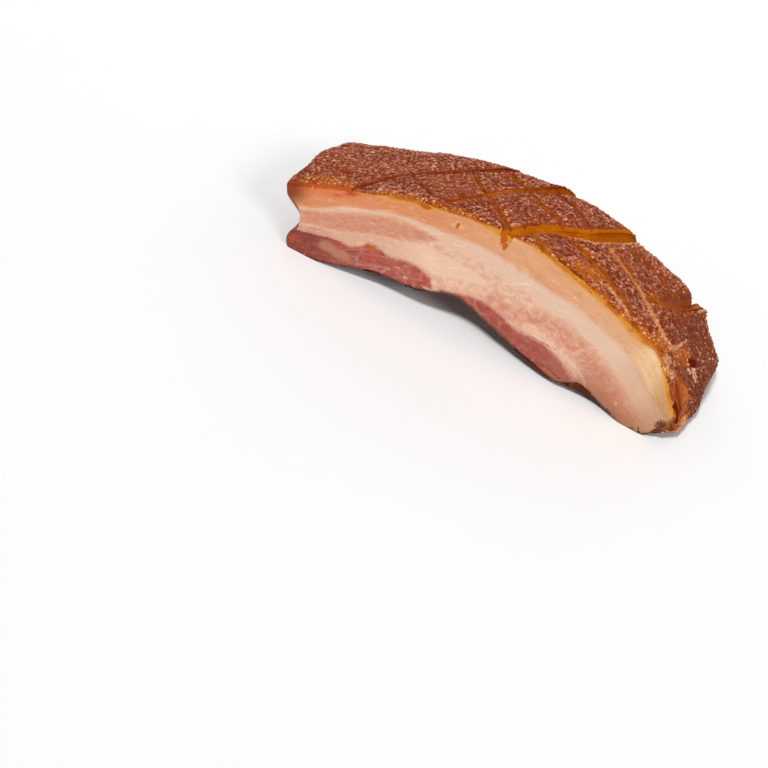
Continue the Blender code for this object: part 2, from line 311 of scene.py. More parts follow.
EDGE_ROUND = 0.8                    # the rind's own edge at the cut face
BEAD_SPACING = 2.5                  # the larger pimples, and below them the smaller grains
BEAD_REACH = 1.0
BEAD_HEIGHT = 0.80
GRAIN_SPACING = 1.5
GRAIN_REACH = 0.62
GRAIN_HEIGHT = 0.42
SKIN_SINK = 0.5                     # so that the pimples' tops end where the solid does
PILLOW = 0.55                       # how far the rind dips beside a cut
PILLOW_REACH = 3.5
FADE = 5.0                          # how far off a cut seems where it has run out
FAR_OFF = 99.0                      # how far off a cut is where none is near
WIDE_CUT = 6.0                      # a cut wider than this is as deep at the cut face as behind


def profile(knots, value):
    """A smooth line through a few knots (place, value)."""
    places, values = (np.array(side, float) for side in zip(*knots))
    step = np.clip(np.searchsorted(places, value, side="right") - 1, 0, len(places) - 2)
    t = np.clip((value - places[step]) / (places[step + 1] - places[step]), 0.0, 1.0)
    slopes = np.gradient(values, places)
    span = places[step + 1] - places[step]
    before, after = values[step], values[step + 1]
    return (before * (1 + 2 * t) * (1 - t) ** 2 + after * t * t * (3 - 2 * t)
            + span * (slopes[step] * t * (1 - t) ** 2 - slopes[step + 1] * t * t * (1 - t)))


def scatter(cells, seed):
    """A steady random number from 0 to 1 for each whole-numbered cell."""
    mixed = cells.astype(np.int64) * np.array([73856093, 19349663, 83492791])
    value = np.bitwise_xor.reduce(mixed, axis=-1) + seed * 2654435761
    value = value & 0xFFFFFFFF
    value = ((value ^ (value >> 15)) * 2246822519) & 0xFFFFFFFF
    value = ((value ^ (value >> 13)) * 3266489917) & 0xFFFFFFFF
    return (value ^ (value >> 16)) / 4294967296.0


def ripple(points, size, seed):
    """Even noise, about -1 to 1, with bumps of the given size; size may differ by direction."""
    scaled = points / np.array(size)
    cell = np.floor(scaled).astype(np.int64)
    part = scaled - cell
    fade = part ** 3 * (part * (part * 6 - 15) + 10)
    total = 0.0
    for corner in np.ndindex(2, 2, 2):
        corner = np.array(corner)
        weight = np.prod(np.where(corner == 1, fade, 1 - fade), axis=-1)
        offset = part - corner
        turn = scatter(cell + corner, seed) * 2 * math.pi
        tilt = scatter(cell + corner, seed + 7) * 2 - 1
        flat = np.sqrt(1 - tilt ** 2)
        slope = (offset[..., 0] * np.cos(turn) + offset[..., 1] * np.sin(turn)) * flat
        total = total + weight * (slope + offset[..., 2] * tilt)
    return 1.6 * total


def pimples(points, normals, spacing, reach, seed):
    """Round bumps from 0 to 1 strewn in space, each as it lies on the surface next to it, and
    a random number for each bump."""
    scaled = points / spacing
    cell = np.floor(scaled).astype(np.int64)
    best = np.zeros(len(points))
    luck = np.full(len(points), 0.5)
    for corner in np.ndindex(3, 3, 3):
        near = cell + np.array(corner) - 1
        centre = near + np.stack([scatter(near, seed + side) for side in range(3)], -1)
        size = reach * (0.65 + 0.7 * scatter(near, seed + 5))
        away = (scaled - centre) * spacing
        off = np.sum(away * normals, axis=1)
        flat = np.sqrt(np.maximum(np.sum(away ** 2, axis=1) - off ** 2, 0))
        there = 1 - smooth(np.abs(off) / spacing, 0.35, 0.6)
        dome = np.clip(1 - (flat / size) ** 2, 0, 1) * there
        luck = np.where(dome > best, scatter(near, seed + 9), luck)
        best = np.maximum(best, dome)
    return best, luck


def to_line(place, start, end):
    """How far places are from the nearest point of a straight line, and its share of the line."""
    run = end - start
    share = np.clip((place - start) @ run / (run @ run), 0, 1)
    return np.hypot(*(place - start - share[:, None] * run).T), share


def on_sheet(first, second):
    """Places on a flat sheet, for its ripples."""
    return np.stack([first, second, 0 * first], -1)


def spread_taper(cut, share):
    """The share of a cut's width and depth at parts of its length from 0 to 1."""
    return np.interp(share, np.linspace(0.0, 1.0, len(cut["taper"])), cut["taper"])


def walk_cut(curve, chosen):
    """How far places are from a cut's line, and at what share of its length."""
    gap = np.full(len(chosen), FAR_OFF)
    share = np.zeros(len(chosen))
    for step, (start, end) in enumerate(zip(curve.path, curve.path[1:])):
        off, t = to_line(chosen, start, end)
        closer = off < gap
        gap[closer] = off[closer]
        walked = curve.walked[step] + t * (curve.walked[step + 1] - curve.walked[step])
        share[closer] = walked[closer] / curve.length
    return gap, share


def cut_shape(cut, chosen, gap, share):
    """How deep a cut is at places so far off its line, and how far off its edge they are."""
    taper = spread_taper(cut, share)
    wander = 1 + 0.16 * ripple(on_sheet(*chosen.T), 9.0, 31)
    half = np.maximum(0.5 * cut["width"] * taper * wander, 0.1)
    far = half
    if cut["far_edge"]:
        side = np.where(chosen[:, 0] > across_path(cut["points"], chosen[:, 1]), gap, -gap)
        far = np.where(side < 0, cut["far_edge"] * half, half)
        slope = np.clip((side / half + cut["far_edge"]) / (cut["far_edge"] + NEAR_FOOT), 0, 1)
        slope = slope + cut["curl"] * (1 - np.sqrt(1 - 0.98 * slope ** 2) - slope)
        shape = np.minimum(slope, np.clip((1 - side / half) / (1 - NEAR_FOOT), 0, 1))
    else:
        fall = (half - gap) / (half * (1 - WEDGE_TIP))
        shape = 0.5 * (np.sqrt(fall ** 2 + 0.006) - np.sqrt((fall - 1) ** 2 + 0.006) + 1)
    wide = cut["width"] > WIDE_CUT
    shallow = 1.0 if wide else 0.3 + 0.7 * smooth(chosen[:, 1], 0.0, 8.0)
    deep = cut["depth"] * taper * shape * shallow
    return deep, np.maximum(gap - far, 0.0) + FADE * (1 - np.minimum(2 * taper, 1.0))


def cut_fields(along, back):
    """For places on the rind: how deep a cut is there, how far off the nearest cut's edge is,
    and that cut's tone."""
    deepest = np.zeros_like(along)
    nearest = np.full_like(along, FAR_OFF)
    tone = np.zeros_like(along)
    place = np.stack([along, back], -1)
    for cut in [*RISING, *FALLING, FOLD]:
        curve = Curve(cut["points"], 8)
        reach = 2.2 * cut["width"] + 3 * PILLOW_REACH
        low, high = curve.path.min(0) - reach, curve.path.max(0) + reach
        close = np.all((place > low) & (place < high), axis=-1)
        deep, off = cut_shape(cut, place[close], *walk_cut(curve, place[close]))
        ahead = (deep > deepest[close]) | ((deep < 0.05) & (off < nearest[close]))
        tone[close] = np.where(ahead, cut["tone"], tone[close])
        deepest[close] = np.maximum(deepest[close], deep)
        nearest[close] = np.minimum(nearest[close], off)
    return deepest, nearest, tone


# Round zones on the rind: (along, back, reach along, reach back, strength)
AMBER_ZONES = [(24, 7, 25, 12, 1.0), (30, 1, 26, 5, 1.0), (67, 3, 11, 6, 0.9), (84, 1, 14, 4, 0.7),
               (102, 3, 10, 6, 0.9), (119, 2, 16, 4, 0.6), (132, 19, 9, 6, 0.7),
               (151, 4, 9, 10, 1.2), (168, 3, 10, 4, 0.9), (184, 2, 12, 3, 0.6),
               (189, 26, 9, 5, 0.9), (199, 12, 14, 17, 0.9), (213, 14, 13, 6, 1.0),
               (218, 1, 22, 4.5, 1.3), (238, 2, 16, 5, 1.2), (256, 7, 10, 11, 1.3),
               (271, 21, 7, 12, 1.1), (277, 32, 7, 12, 1.2), (281, 9, 9, 7, 0.7),
               (280, 3, 22, 3, 0.9), (298, 12, 20, 13, 1.2), (330, 16, 34, 14, 1.0)]
SMOOTH_ZONES = [(276, 30, 4, 8, 0.8), (298, 12, 19, 11, 1.1), (26, 0.5, 22, 3, 0.9),
                (153, 4, 5, 8, 0.9)]
FLAP = [(299, 13, 19, 9.5, 1.0)]

# Ribbons on the rind: (points (along, back), half their width)
PALE_RIBBONS = [([(199, 46.5), (207, 42.5), (218, 38), (229, 34)], 1.1),
                ([(177, 27), (190.6, 40.6), (200.5, 61), (222.4, 101.6)], 1.7),
                ([(229, 33.5), (234, 28), (241, 21.5)], 2.0),
                ([(241, 21.5), (249, 15), (257, 12.5)], 3.0),
                ([(213, 11.5), (223, 7.5), (234, 3)], 2.8),
                ([(257, 12.5), (263, 14.5), (266, 22)], 2.4),
                ([(266, 22), (268, 30), (270, 39)], 1.6), ([(281, 52.5), (287, 53.5)], 0.6),
                ([(264, 2), (267, 7)], 4.2), ([(271, 1), (277, 8)], 3.4),
                ([(265, 66), (277, 102)], 1.5), ([(204, 1), (207, 5)], 1.4),
                ([(146, 9), (150, 14)], 1.2), ([(71, 2), (75, 7)], 1.4), ([(82, 4), (86, 7)], 2.0),
                ([(96, 7), (98, 9)], 1.8), ([(320, 18), (345, 20), (356, 8)], 7.0)]
RED_RIBBONS = [([(293, 2.5), (301, 5.5), (313, 9)], 3.0), ([(282, 36), (285, 39), (286, 43)], 2.6)]
WHITE_RIBBONS = [([(286.5, 35), (290, 33.5), (293, 33.5)], 0.7), ([(287, 37), (292, 36.5)], 0.5),
                 ([(284, 29.5), (287, 31)], 0.9)]
DARK_RIBBONS = [([(47, 8), (50, 12)], 3.0), ([(50, 13), (53, 18)], 2.2),
                ([(56, 25), (60, 28)], 2.6), ([(70, 37), (77, 41)], 2.4),
                ([(105, 10), (118, 30)], 1.6), ([(150, 14), (158, 22)], 1.4),
                ([(97, 12), (110, 6)], 1.6), ([(18, 31), (34, 24)], 1.6), ([(4, 21), (9, 19)], 2.0),
                ([(152, 14), (158, 9)], 1.5), ([(245, 58), (243, 42), (250, 38)], 2.0)]


def ribbon(ribbons, along, back):
    """How much of any such ribbon is at a place, 0 to 1 and below 0 outside."""
    best = np.full_like(along, -1.0)
    place = np.stack([along, back], -1)
    for points, half in ribbons:
        knots = np.array(points, float)
        for start, end in zip(knots, knots[1:]):
            best = np.maximum(best, 1 - to_line(place, start, end)[0] / half)
    return best


def zone(zones, along, back):
    """How much of any such zone is at a place, 0 to 1 and below 0 well outside."""
    best = np.full_like(along, -1.0)
    for middle, depth, reach_along, reach_back, strength in zones:
        off = np.hypot((along - middle) / reach_along, (back - depth) / reach_back)
        best = np.maximum(best, strength * (1 - off))
    return best


def skin_zones(points, along, back):
    """The rind's zones and ribbons at places, with ragged edges: stained, pale, wet red, flap,
    white streak, dark and bare."""
    warp = 0.22 * ripple(points, 5.0, 33) + 0.16 * ripple(points, 2.2, 34)
    amber = zone(AMBER_ZONES, along, back) + 0.8 * warp
    pale = ribbon(PALE_RIBBONS, along, back) + 1.1 * warp
    red = smooth(ribbon(RED_RIBBONS, along, back) + 0.7 * warp, 0.0, 0.45)
    flap = smooth(zone(FLAP, along, back) + 0.4 * warp, 0.0, 0.3)
    streak = smooth(ribbon(WHITE_RIBBONS, along, back) + 0.5 * warp, 0.0, 0.4)
    dark = smooth(ribbon(DARK_RIBBONS, along, back) + 1.2 * warp, 0.0, 0.6)
    bare = smooth(zone(SMOOTH_ZONES, along, back) + 0.8 * warp, 0.0, 0.25)
    front = (1 - smooth(back + 3.0 * warp, 0.8, 2.2)) * smooth(52 - along, 0, 6)
    return amber, pale, red, flap, streak, dark, np.maximum(bare, front)


def tongue_lift(along, back):
    """The small tongue that rises beside the right open cut, and dips on the cut's other side."""
    middle, reach, rise, width = TONGUE
    side = across_path(RIGHT_OPEN["points"], back) - along
    tongue = rise * bump(back, middle, reach) * np.exp(-np.abs(side) / width)
    return tongue * (2 * smooth(side, -2.5, 2.5) - 1)


def skin_height(points, normals, along, back):
    """How far the rind's surface stands out (+) or in (-), and what its colours need to know:
    how deep a cut is, the pimples from 0 to 1 and how near a cut is; the cut's tone and the
    stained and pale zones; the pimples' luck, the wet red (+) and dark (-) places, and the bare
    ones."""
    deep, off_cut, tone = cut_fields(along, back)
    amber, pale, red, flap, streak, dark, bare = skin_zones(points, along, back)

    # Pimples, in two sizes, where there is skin
    on_skin = (1 - smooth(deep, 0.15, 0.9)) * (1 - 0.9 * bare)
    vary = 0.85 + 0.45 * ripple(points, 12.0, 9) + 0.4 * smooth(back, 45.0, 80.0)
    beads, luck = pimples(points, normals, BEAD_SPACING, BEAD_REACH, 3)
    beads = beads * on_skin * vary
    grains, grain_luck = pimples(points, normals, GRAIN_SPACING, GRAIN_REACH, 13)
    grains = grains * on_skin
    luck = np.where(BEAD_HEIGHT * beads > GRAIN_HEIGHT * grains, luck, grain_luck)

    # Unevenness, crumbs beside the cuts, the rounded edge and the cuts themselves
    near = np.exp(-off_cut / PILLOW_REACH)
    rough = 0.30 * ripple(points, 8.0, 5) + 0.18 * ripple(points, 3.2, 6)
    walls = 0.3 * ripple(points, (1.6, 1.6, 5.0), 8) * smooth(deep, 0.3, 1.5)
    crumbs = smooth(pale, 0.0, 0.5) * (0.35 + 0.6 * pimples(points, normals, 1.8, 1.1, 23)[0])
    edge = np.clip(EDGE_ROUND - back, 0, EDGE_ROUND)
    edge = EDGE_ROUND - np.sqrt(EDGE_ROUND ** 2 - edge ** 2)
    height = np.maximum(BEAD_HEIGHT * beads, GRAIN_HEIGHT * grains) + rough - SKIN_SINK
    height = height + crumbs - PILLOW * near - edge
    height = height + 0.5 * flap + 0.7 * streak - 1.5 * red - 0.4 * dark
    height = height * (1 - 0.6 * smooth(deep, 0.5, 2.0)) - deep + walls
    height = height + tongue_lift(along, back)

    dots = np.sqrt(np.clip(np.maximum(beads, 0.5 * grains), 0, 1))
    marks = np.stack([deep, dots, near], 1)
    zones = np.stack([tone, amber, np.maximum(pale, 2.2 * streak)], 1)
    extra = np.stack([luck, red - dark, bare], 1)
    return height, marks, zones, extra


class Shell:
    """A closed piece in the making: its points, their places in the straight block, and faces."""

    def __init__(self):
        self.points, self.places = [], []
        self.count = 0
        self.faces = []

    def add(self, points, places):
        """Add a grid of points, and give back their numbers in the same grid."""
        self.points.append(points.reshape(-1, 3))
        self.places.append(places.reshape(-1, 3))
        size = int(np.prod(points.shape[:-1]))
        numbers = np.arange(self.count, self.count + size).reshape(points.shape[:-1])
        self.count += size
        return numbers

    def quads(self, grid):
        """Faces between the rows and columns of a grid of numbers."""
        corners = grid[:-1, :-1], grid[1:, :-1], grid[1:, 1:], grid[:-1, 1:]
        self.faces.append(np.stack([corner.ravel() for corner in corners], 1))

    def zip(self, first, second):
        """Triangles between two chains of numbers of different lengths."""
        first, second = list(first), list(second)
        made = []
        i = j = 0
        while i < len(first) - 1 or j < len(second) - 1:
            ahead = (i + 1) / max(len(first) - 1, 1) <= (j + 1) / max(len(second) - 1, 1)
            if j == len(second) - 1 or (ahead and i < len(first) - 1):
                made.append((first[i], first[i + 1], second[j]))
                i += 1
            else:
                made.append((first[i], second[j + 1], second[j]))
                j += 1
        self.faces.append(np.array(made))


def grid_normals(points, faces, count):
    """Smooth normals at the points of a mesh of quads."""
    corners = points[faces]
    face_normals = np.cross(corners[:, 2] - corners[:, 0], corners[:, 3] - corners[:, 1])
    normals = np.zeros((count, 3))
    for corner in range(4):
        np.add.at(normals, faces[:, corner], face_normals)
    return normals / np.maximum(np.linalg.norm(normals, axis=1), 1e-9)[:, None]


def store(mesh, key, values):
    """Keep three numbers at every point, for the finishes to read."""
    full = np.zeros((len(mesh.vertices), 3), np.float32)
    full[:len(values)] = values
    mesh.attributes.new(key, "FLOAT_VECTOR", "POINT").data.foreach_set("vector", full.ravel())


def paint_faces(mesh, chosen, number):
    """Give the faces whose corners are all chosen another of the mesh's materials."""
    corners = np.zeros(len(mesh.loops), np.int32)
    mesh.loops.foreach_get("vertex_index", corners)
    starts = np.zeros(len(mesh.polygons), np.int32)
    mesh.polygons.foreach_get("loop_start", starts)
    numbers = np.zeros(len(mesh.polygons), np.int32)
    mesh.polygons.foreach_get("material_index", numbers)
    flags = np.zeros(len(mesh.vertices), bool)
    flags[chosen] = True
    numbers[np.logical_and.reduceat(flags[corners], starts)] = number
    mesh.polygons.foreach_set("material_index", numbers)


def put_in_scene(name, data):
    """A new object that shows in the scene."""
    made = bpy.data.objects.new(name, data)
    bpy.context.scene.collection.objects.link(made)
    return made


def make_piece(name, shell, materials, on_face, below):
    """Turn a shell into a mesh in metres, some of whose points show on the cut face, so far
    below the skin."""
    points = np.vstack(shell.points) - np.array([*MIDDLE, 0.0])
    points = np.clip(points, np.array(cad_low) / MM, np.array(cad_high) / MM)
    faces = [row for block in shell.faces for row in block.tolist()]
    mesh = bpy.data.meshes.new(name)
    mesh.from_pydata((points * MM).tolist(), [], faces)
    places = np.vstack(shell.places)
    store(mesh, "place", places)
    store_regions(mesh, places)
    rim = np.zeros((shell.count, 3))
    rim[on_face, 0] = below
    rim[:, 1] = profile(RIM_WIDTH, places[:, 0])
    store(mesh, "rim", rim)
    for material in materials:
        mesh.materials.append(material)
    mesh.shade_smooth()
    mesh.set_sharp_from_angle(angle=math.radians(50))
    turn_outwards(mesh)
    return put_in_scene(name, mesh)


def turn_outwards(mesh):
    """Make every face of a closed mesh point out."""
    bm = bmesh.new()
    bm.from_mesh(mesh)
    bmesh.ops.recalc_face_normals(bm, faces=bm.faces)
    bm.to_mesh(mesh)
    bm.free()


def cut_line(cut, back):
    """Where an open cut's middle is at each depth, and half its width there."""
    curve = Curve(cut["points"])
    along = np.interp(back, curve.path[:, 1], curve.path[:, 0])
    share = np.interp(back, curve.path[:, 1], curve.walked / curve.length)
    return along, 0.5 * cut["width"] * spread_taper(cut, share) + CUT_SHOULDER


def columns(knots, counts):
    """Places along the slab in rows, spaced evenly between knots that differ by row."""
    parts = []
    for start, end, count in zip(knots, knots[1:], counts):
        parts.append(start[:, None] + (end - start)[:, None] * np.arange(count) / count)
    return np.hstack([*parts, knots[-1][:, None]])


def stretch_columns(stretch, back):
    """The columns of one stretch of rind at each depth."""
    left, left_half = cut_line(LEFT_OPEN, back)
    right, right_half = cut_line(RIGHT_OPEN, back)
    count = round(STRETCH_WIDTHS[stretch] / TOP_CELL)
    if stretch == "left":
        return columns([0 * left, left - left_half, left], [count, CUT_CELLS])
    if stretch == "middle":
        return columns([left, left + left_half, right - right_half, right],
                       [CUT_CELLS, count, CUT_CELLS])
    return columns([right, right + right_half, 0 * right + LENGTH], [CUT_CELLS, count])


def face_relief(along, up):
    """How far the cut face stands out (-) or in (+) of its plane, in mm."""
    place = on_sheet(along, up)
    fibres = 0.10 * ripple(place, (9.0, 1.6, 1.0), 41) + 0.16 * ripple(place, (22.0, 7.0, 1.0), 42)
    grain = 0.09 * ripple(place, (2.4, 1.3, 1.0), 43)
    slits = smooth(ribbon(DARK_LINES, along.ravel(), up.ravel()).reshape(along.shape), 0.0, 0.6)
    flakes = smooth(ribbon(PALE_LINES, along.ravel(), up.ravel()).reshape(along.shape), 0.0, 0.7)
    return fibres + grain + 0.9 * slits - 0.2 * flakes


def front_bevel(along):
    """How far the rind's front edge lies back from the cut face, where the skin curls."""
    return BEVEL * smooth(54.0 - along, 0.0, 18.0)


def lay_skin(shell, stretch):
    """Lay the outside of a stretch of rind: its top, the part down the back and, at an end of the
    slab, the part down that end. Gives back their numbers, and all places on the rind if it were
    spread flat."""
    down = END_CELLS if stretch == "right" else BACK_CELLS
    share = np.linspace(0, 1, down + 1)[1:]
    along = stretch_columns(stretch, TOP_BACKS)
    bevelled = TOP_BACKS[:, None] + front_bevel(along) * np.exp(-TOP_BACKS / BEVEL_REACH)[:, None]
    top = np.stack([along, bevelled, np.full(along.shape, THICKNESS)], -1)

    # Down the back: the columns go on along the cuts until these run out
    drop = (THICKNESS - profile(RIND_EDGE_BACK, along[-1]))[None, :] * share[:, None]
    last = np.broadcast_to(along[-1], drop.shape)
    back = np.stack([last, np.full(drop.shape, DEPTH), THICKNESS - drop], -1)
    top_n = shell.add(top, top)
    back_n = shell.add(back, back)
    flat = [top[..., :2], np.stack([last, DEPTH + drop], -1)]
    shell.quads(top_n)
    shell.quads(np.vstack([top_n[-1:], back_n]))

    end_n = None
    if stretch != "middle":
        at_left = stretch == "left"
        side, out, column = (0.0, -1, 0) if at_left else (LENGTH, 1, -1)
        height = profile(BAND_LEFT, TOP_BACKS)[:-1, None] if at_left else THICKNESS
        fall = np.broadcast_to(height * share[None, :], (len(TOP_BACKS) - 1, down))
        straight = TOP_BACKS[:-1, None]
        depth = straight + (bevelled[:-1, column][:, None] - straight) * (1 - share)
        end = np.stack([np.full(fall.shape, side), depth, THICKNESS - fall], -1)
        flat.append(np.stack([side + out * fall, depth], -1))
        inner = np.vstack([shell.add(end, end), back_n[:, column][None, :]])
        end_n = np.hstack([top_n[:, column][:, None], inner])
        shell.quads(end_n[:, ::-1] if at_left else end_n)
    return top_n, back_n, end_n, np.vstack([part.reshape(-1, 2) for part in flat])


def raise_skin(shell, top_n, flat):
    """Bend the skin that is laid, with its pimples and cuts. Gives back its normals, and what its
    colours need to know."""
    places = np.vstack(shell.places)
    base = slab_points(places)
    normals = grid_normals(base, np.vstack(shell.faces), shell.count)
    if normals[top_n[len(TOP_BACKS) // 2, 3]][2] < 0:
        normals = -normals
    height, *known = skin_height(base, normals, flat[:, 0], flat[:, 1])
    shell.points = [base + normals * height[:, None]]
    shell.places = [places]
    return normals, known


def lay_band(shell, stretch, top_n, end_n, normals, deep):
    """Lay the band of rind that shows on the cut face. Gives back the skin's front row, the band's
    numbers and how far below the skin they are."""
    front = top_n[0]
    if stretch == "right":
        front = np.concatenate([front, end_n[0, 1:]])
    skin, start = shell.points[0][front], shell.places[0][front]
    on_top = start[:, 2] >= THICKNESS - 1e-6
    band = profile(BAND_FRONT, start[:, 0])
    turn = 1 - smooth(LENGTH + THICKNESS - start[:, 2], LENGTH, LENGTH + CORNER_REACH)
    low = np.stack([
        np.where(on_top, band_along(start[:, 0]), LENGTH - profile(BAND_RIGHT, start[:, 2])),
        0 * band,
        np.where(on_top, THICKNESS - band,
                 start[:, 2] - turn * profile(BAND_FRONT, LENGTH + 0 * band))], 1)
    low_points = slab_points(low) - normals[front] * deep[front][:, None]
    low_points[:, 1] += face_relief(low[:, 0], low[:, 2])
    steps = np.linspace(0, 1, (BACK_CELLS if stretch == "left" else BAND_CELLS) + 1)[1:, None, None]
    points = skin * (1 - steps) + low_points * steps
    places = start * (1 - steps) + low * steps
    points[..., 1] += np.sin(math.pi * steps[..., 0]) * 0.3 * ripple(points, (4.0, 3.0, 1.5), 51)
    under = steps[..., 0] * np.linalg.norm(skin - low_points, axis=1)
    if stretch == "left":
        band_n = np.hstack([end_n[0, 1:][:, None], shell.add(points[:, 1:], places[:, 1:])])
    else:
        band_n = shell.add(points, places)
    shell.quads(np.vstack([front[None], band_n]))
    return front, band_n, under


def lay_hidden(shell, backs, ends, cells, up, drop):
    """Lay a grid out of sight inside the slab, that may also drop behind the wrapped end."""
    along = columns(ends, [cells])
    inside = np.stack([along, np.broadcast_to(backs[:, None], along.shape),
                       np.full(along.shape, up)], -1)
    if drop:
        fall = np.linspace(0, 1, drop + 1)[1:]
        side = np.repeat(inside[:, -1:, :], drop, axis=1)
        side[..., 2] -= fall[None, :] * (THICKNESS - HIDDEN_DEPTH - HIDDEN_FOOT)
        inside = np.concatenate([inside, side], axis=1)
    numbers = shell.add(slab_points(inside), inside)
    shell.quads(numbers)
    return numbers


def make_rind(stretch, materials):
    """One stretch of rind, a closed block that is thin where its edges show."""
    shell = Shell()
    top_n, back_n, end_n, flat = lay_skin(shell, stretch)
    normals, known = raise_skin(shell, top_n, flat)
    front, band_n, under = lay_band(shell, stretch, top_n, end_n, normals, known[0][:, 0])
    backs = np.array([3.5, 20, 40, 60, DEPTH - 15])
    inside_n = lay_hidden(shell, backs, stretch_ends(stretch, backs), 30,
                          THICKNESS - HIDDEN_DEPTH, 8 if stretch == "right" else 0)
    left_wall, right_wall = (np.concatenate([band_n[::-1, side], top_n[:, side], back_n[:, side]])
                             for side in (0, -1))
    if stretch == "left":
        left_wall = end_n[:, -1]
    if stretch == "right":
        right_wall = np.concatenate([band_n[::-1, -1], end_n[:, -1]])
    shell.zip(band_n[-1], inside_n[0])
    shell.zip(left_wall, inside_n[:, 0])
    shell.zip(right_wall, inside_n[:, -1])
    shell.zip(back_n[-1], inside_n[-1])
    piece = make_piece("rind_" + stretch, shell, materials, band_n, under)
    for key, values in zip(("marks", "zones", "extra"), known):
        store(piece.data, key, values)
    paint_faces(piece.data, np.concatenate([front, band_n.ravel()]), 1)
    return piece


def band_along(along):
    """Places along the lower edge of the rind's band, drawn in where the band turns the end."""
    turn = smooth(along, LENGTH - CORNER_REACH, LENGTH)
    return along - turn * profile(BAND_RIGHT, np.full(np.shape(along), THICKNESS))


def stretch_ends(stretch, back):
    """How far a stretch's hidden inside reaches at each depth."""
    left, _ = cut_line(LEFT_OPEN, back)
    right, _ = cut_line(RIGHT_OPEN, back)
    first = {"left": 6.0 + 0 * left, "middle": left + 1.0, "right": right + 1.0}[stretch]
    final = {"left": left - 1.0, "middle": right - 1.0, "right": LENGTH - 10.0 + 0 * left}[stretch]
    return first, final


# The cut face's regions: (along, lower edge, upper edge), in mm of the straight block
LEAN_LOW_LEFT = [(-4, -3, 17), (8, -3, 18), (22, -3, 18.5), (36, -3, 18.5), (44, -3, 16.5),
                 (51, -3, 15), (57, -3, 16.5), (63, -3, 18.8), (68, -3, 18.6), (74, -3, 16),
                 (80, -3, 14), (92, -3, 14.5), (103, -3, 13.5), (109, -3, 11), (114, -2, 6.5),
                 (118, 0, 2)]
LEAN_LOW_RIGHT = [(116, -3, 0), (122, -3, 3), (130, -3, 2.5), (138, -3, 3.5), (148, -3, 7),
                  (158, -3, 9.5), (170, -3, 9.8), (182, -3, 9.2), (190, -3, 10.5), (198, -3, 12.5),
                  (208, -3, 13.2), (218, -3, 12.6), (225, -3, 10), (231, -3, 6.5), (237, -3, 1.5),
                  (241, -3, -3)]
ISLAND = [(24, 12, 10), (29, 9, 15.5), (35, 8, 15.5), (41, 5, 12), (48, 3.5, 10), (53, 4, 5)]
LEAN_MIDDLE = [(10, 23, 33), (16, 24, 34.5), (35, 24.3, 36), (60, 24.3, 36.8), (80, 25, 36.5),
               (95, 27.5, 35.8), (104, 30, 34.5), (110, 32.5, 32)]
WHITE_HIGH = [(12, 33.5, 35), (24, 34.5, 37.5), (38, 36.3, 40.5), (60, 37, 41), (85, 36.8, 40.5),
              (100, 34, 39.5), (112, 31, 38.5), (125, 28, 37.5), (150, 27, 36), (165, 27, 35),
              (178, 28, 35), (190, 27, 36.5), (200, 28, 38.5), (215, 29.5, 39.3), (228, 28.5, 39),
              (240, 25, 37), (252, 21, 35), (268, 20, 33), (282, 22, 32), (292, 26, 29)]
WHITE_LOW = [(8, 19, 20.5), (20, 19, 22.5), (36, 19, 23.5), (50, 16, 24), (60, 19, 24),
             (75, 17, 24), (90, 15, 25), (105, 13.5, 27), (118, 11, 25), (130, 11, 22),
             (142, 14, 20), (150, 17, 18)]
BLUSH = [(150, 9.5, 10), (158, 10, 17), (172, 10, 19), (188, 14, 24), (200, 17, 28),
         (212, 18, 29.5), (225, 17, 28.5), (235, 12, 25), (245, 6, 21), (255, 2, 19), (268, 1, 18),
         (282, 2, 17), (292, 6, 12)]
PALE_STREAK = [(184, 13.5, 14), (196, 14, 18), (206, 13.8, 16), (220, 13, 16.5), (228, 10.5, 14.5),
               (236, 6.5, 9.5), (243, 3, 5), (250, -1, 0), (256, -4, -4)]

# Ribbons on the cut face: (points (along, up), half their width)
PALE_LINES = [([(186, 14.5), (190, 15.5), (196, 18)], 0.8),
              ([(193, 12.5), (205, 14.6), (221, 13.2)], 0.7),
              ([(222, 16.5), (231, 12), (240, 6.5), (249, 0)], 0.9), ([(228, 12), (237, 5)], 0.7),
              ([(166, 28), (173, 31.5), (180, 33)], 1.3), ([(158, 24), (170, 29)], 0.8),
              ([(103, 34.5), (112, 37)], 1.4), ([(121, 32), (128, 33.5)], 1.0),
              ([(38, 39.5), (60, 39.8)], 0.9), ([(62, 21.3), (80, 20)], 0.9),
              ([(84, 18.5), (92, 18)], 0.7),
              ([(104, 20), (112, 21)], 1.3), ([(122, 17), (131, 19)], 1.2),
              ([(76, 1), (80, 4.5)], 0.5),
              ([(137, 26), (145, 31)], 0.6), ([(174, 9.6), (186, 9.3)], 0.6),
              ([(14, 20.2), (28, 21)], 0.8),
              ([(110, 3), (118, 1.5)], 1.2), ([(185, 41.5), (189, 41.8)], 0.9)]
DARK_LINES = [([(290.5, 7), (292.5, 4), (296, 0)], 0.8), ([(203, 13.6), (212, 14.6)], 0.3),
              ([(208, 3.2), (216, 4.4), (226, 3.2)], 0.3), ([(190, 0), (205, 0.8), (222, 0)], 1.2),
              ([(240, 0), (252, 0)], 1.0), ([(64, 0.3), (76, 0.3)], 1.2),
              ([(96, 0), (114, 0.3)], 1.0)]
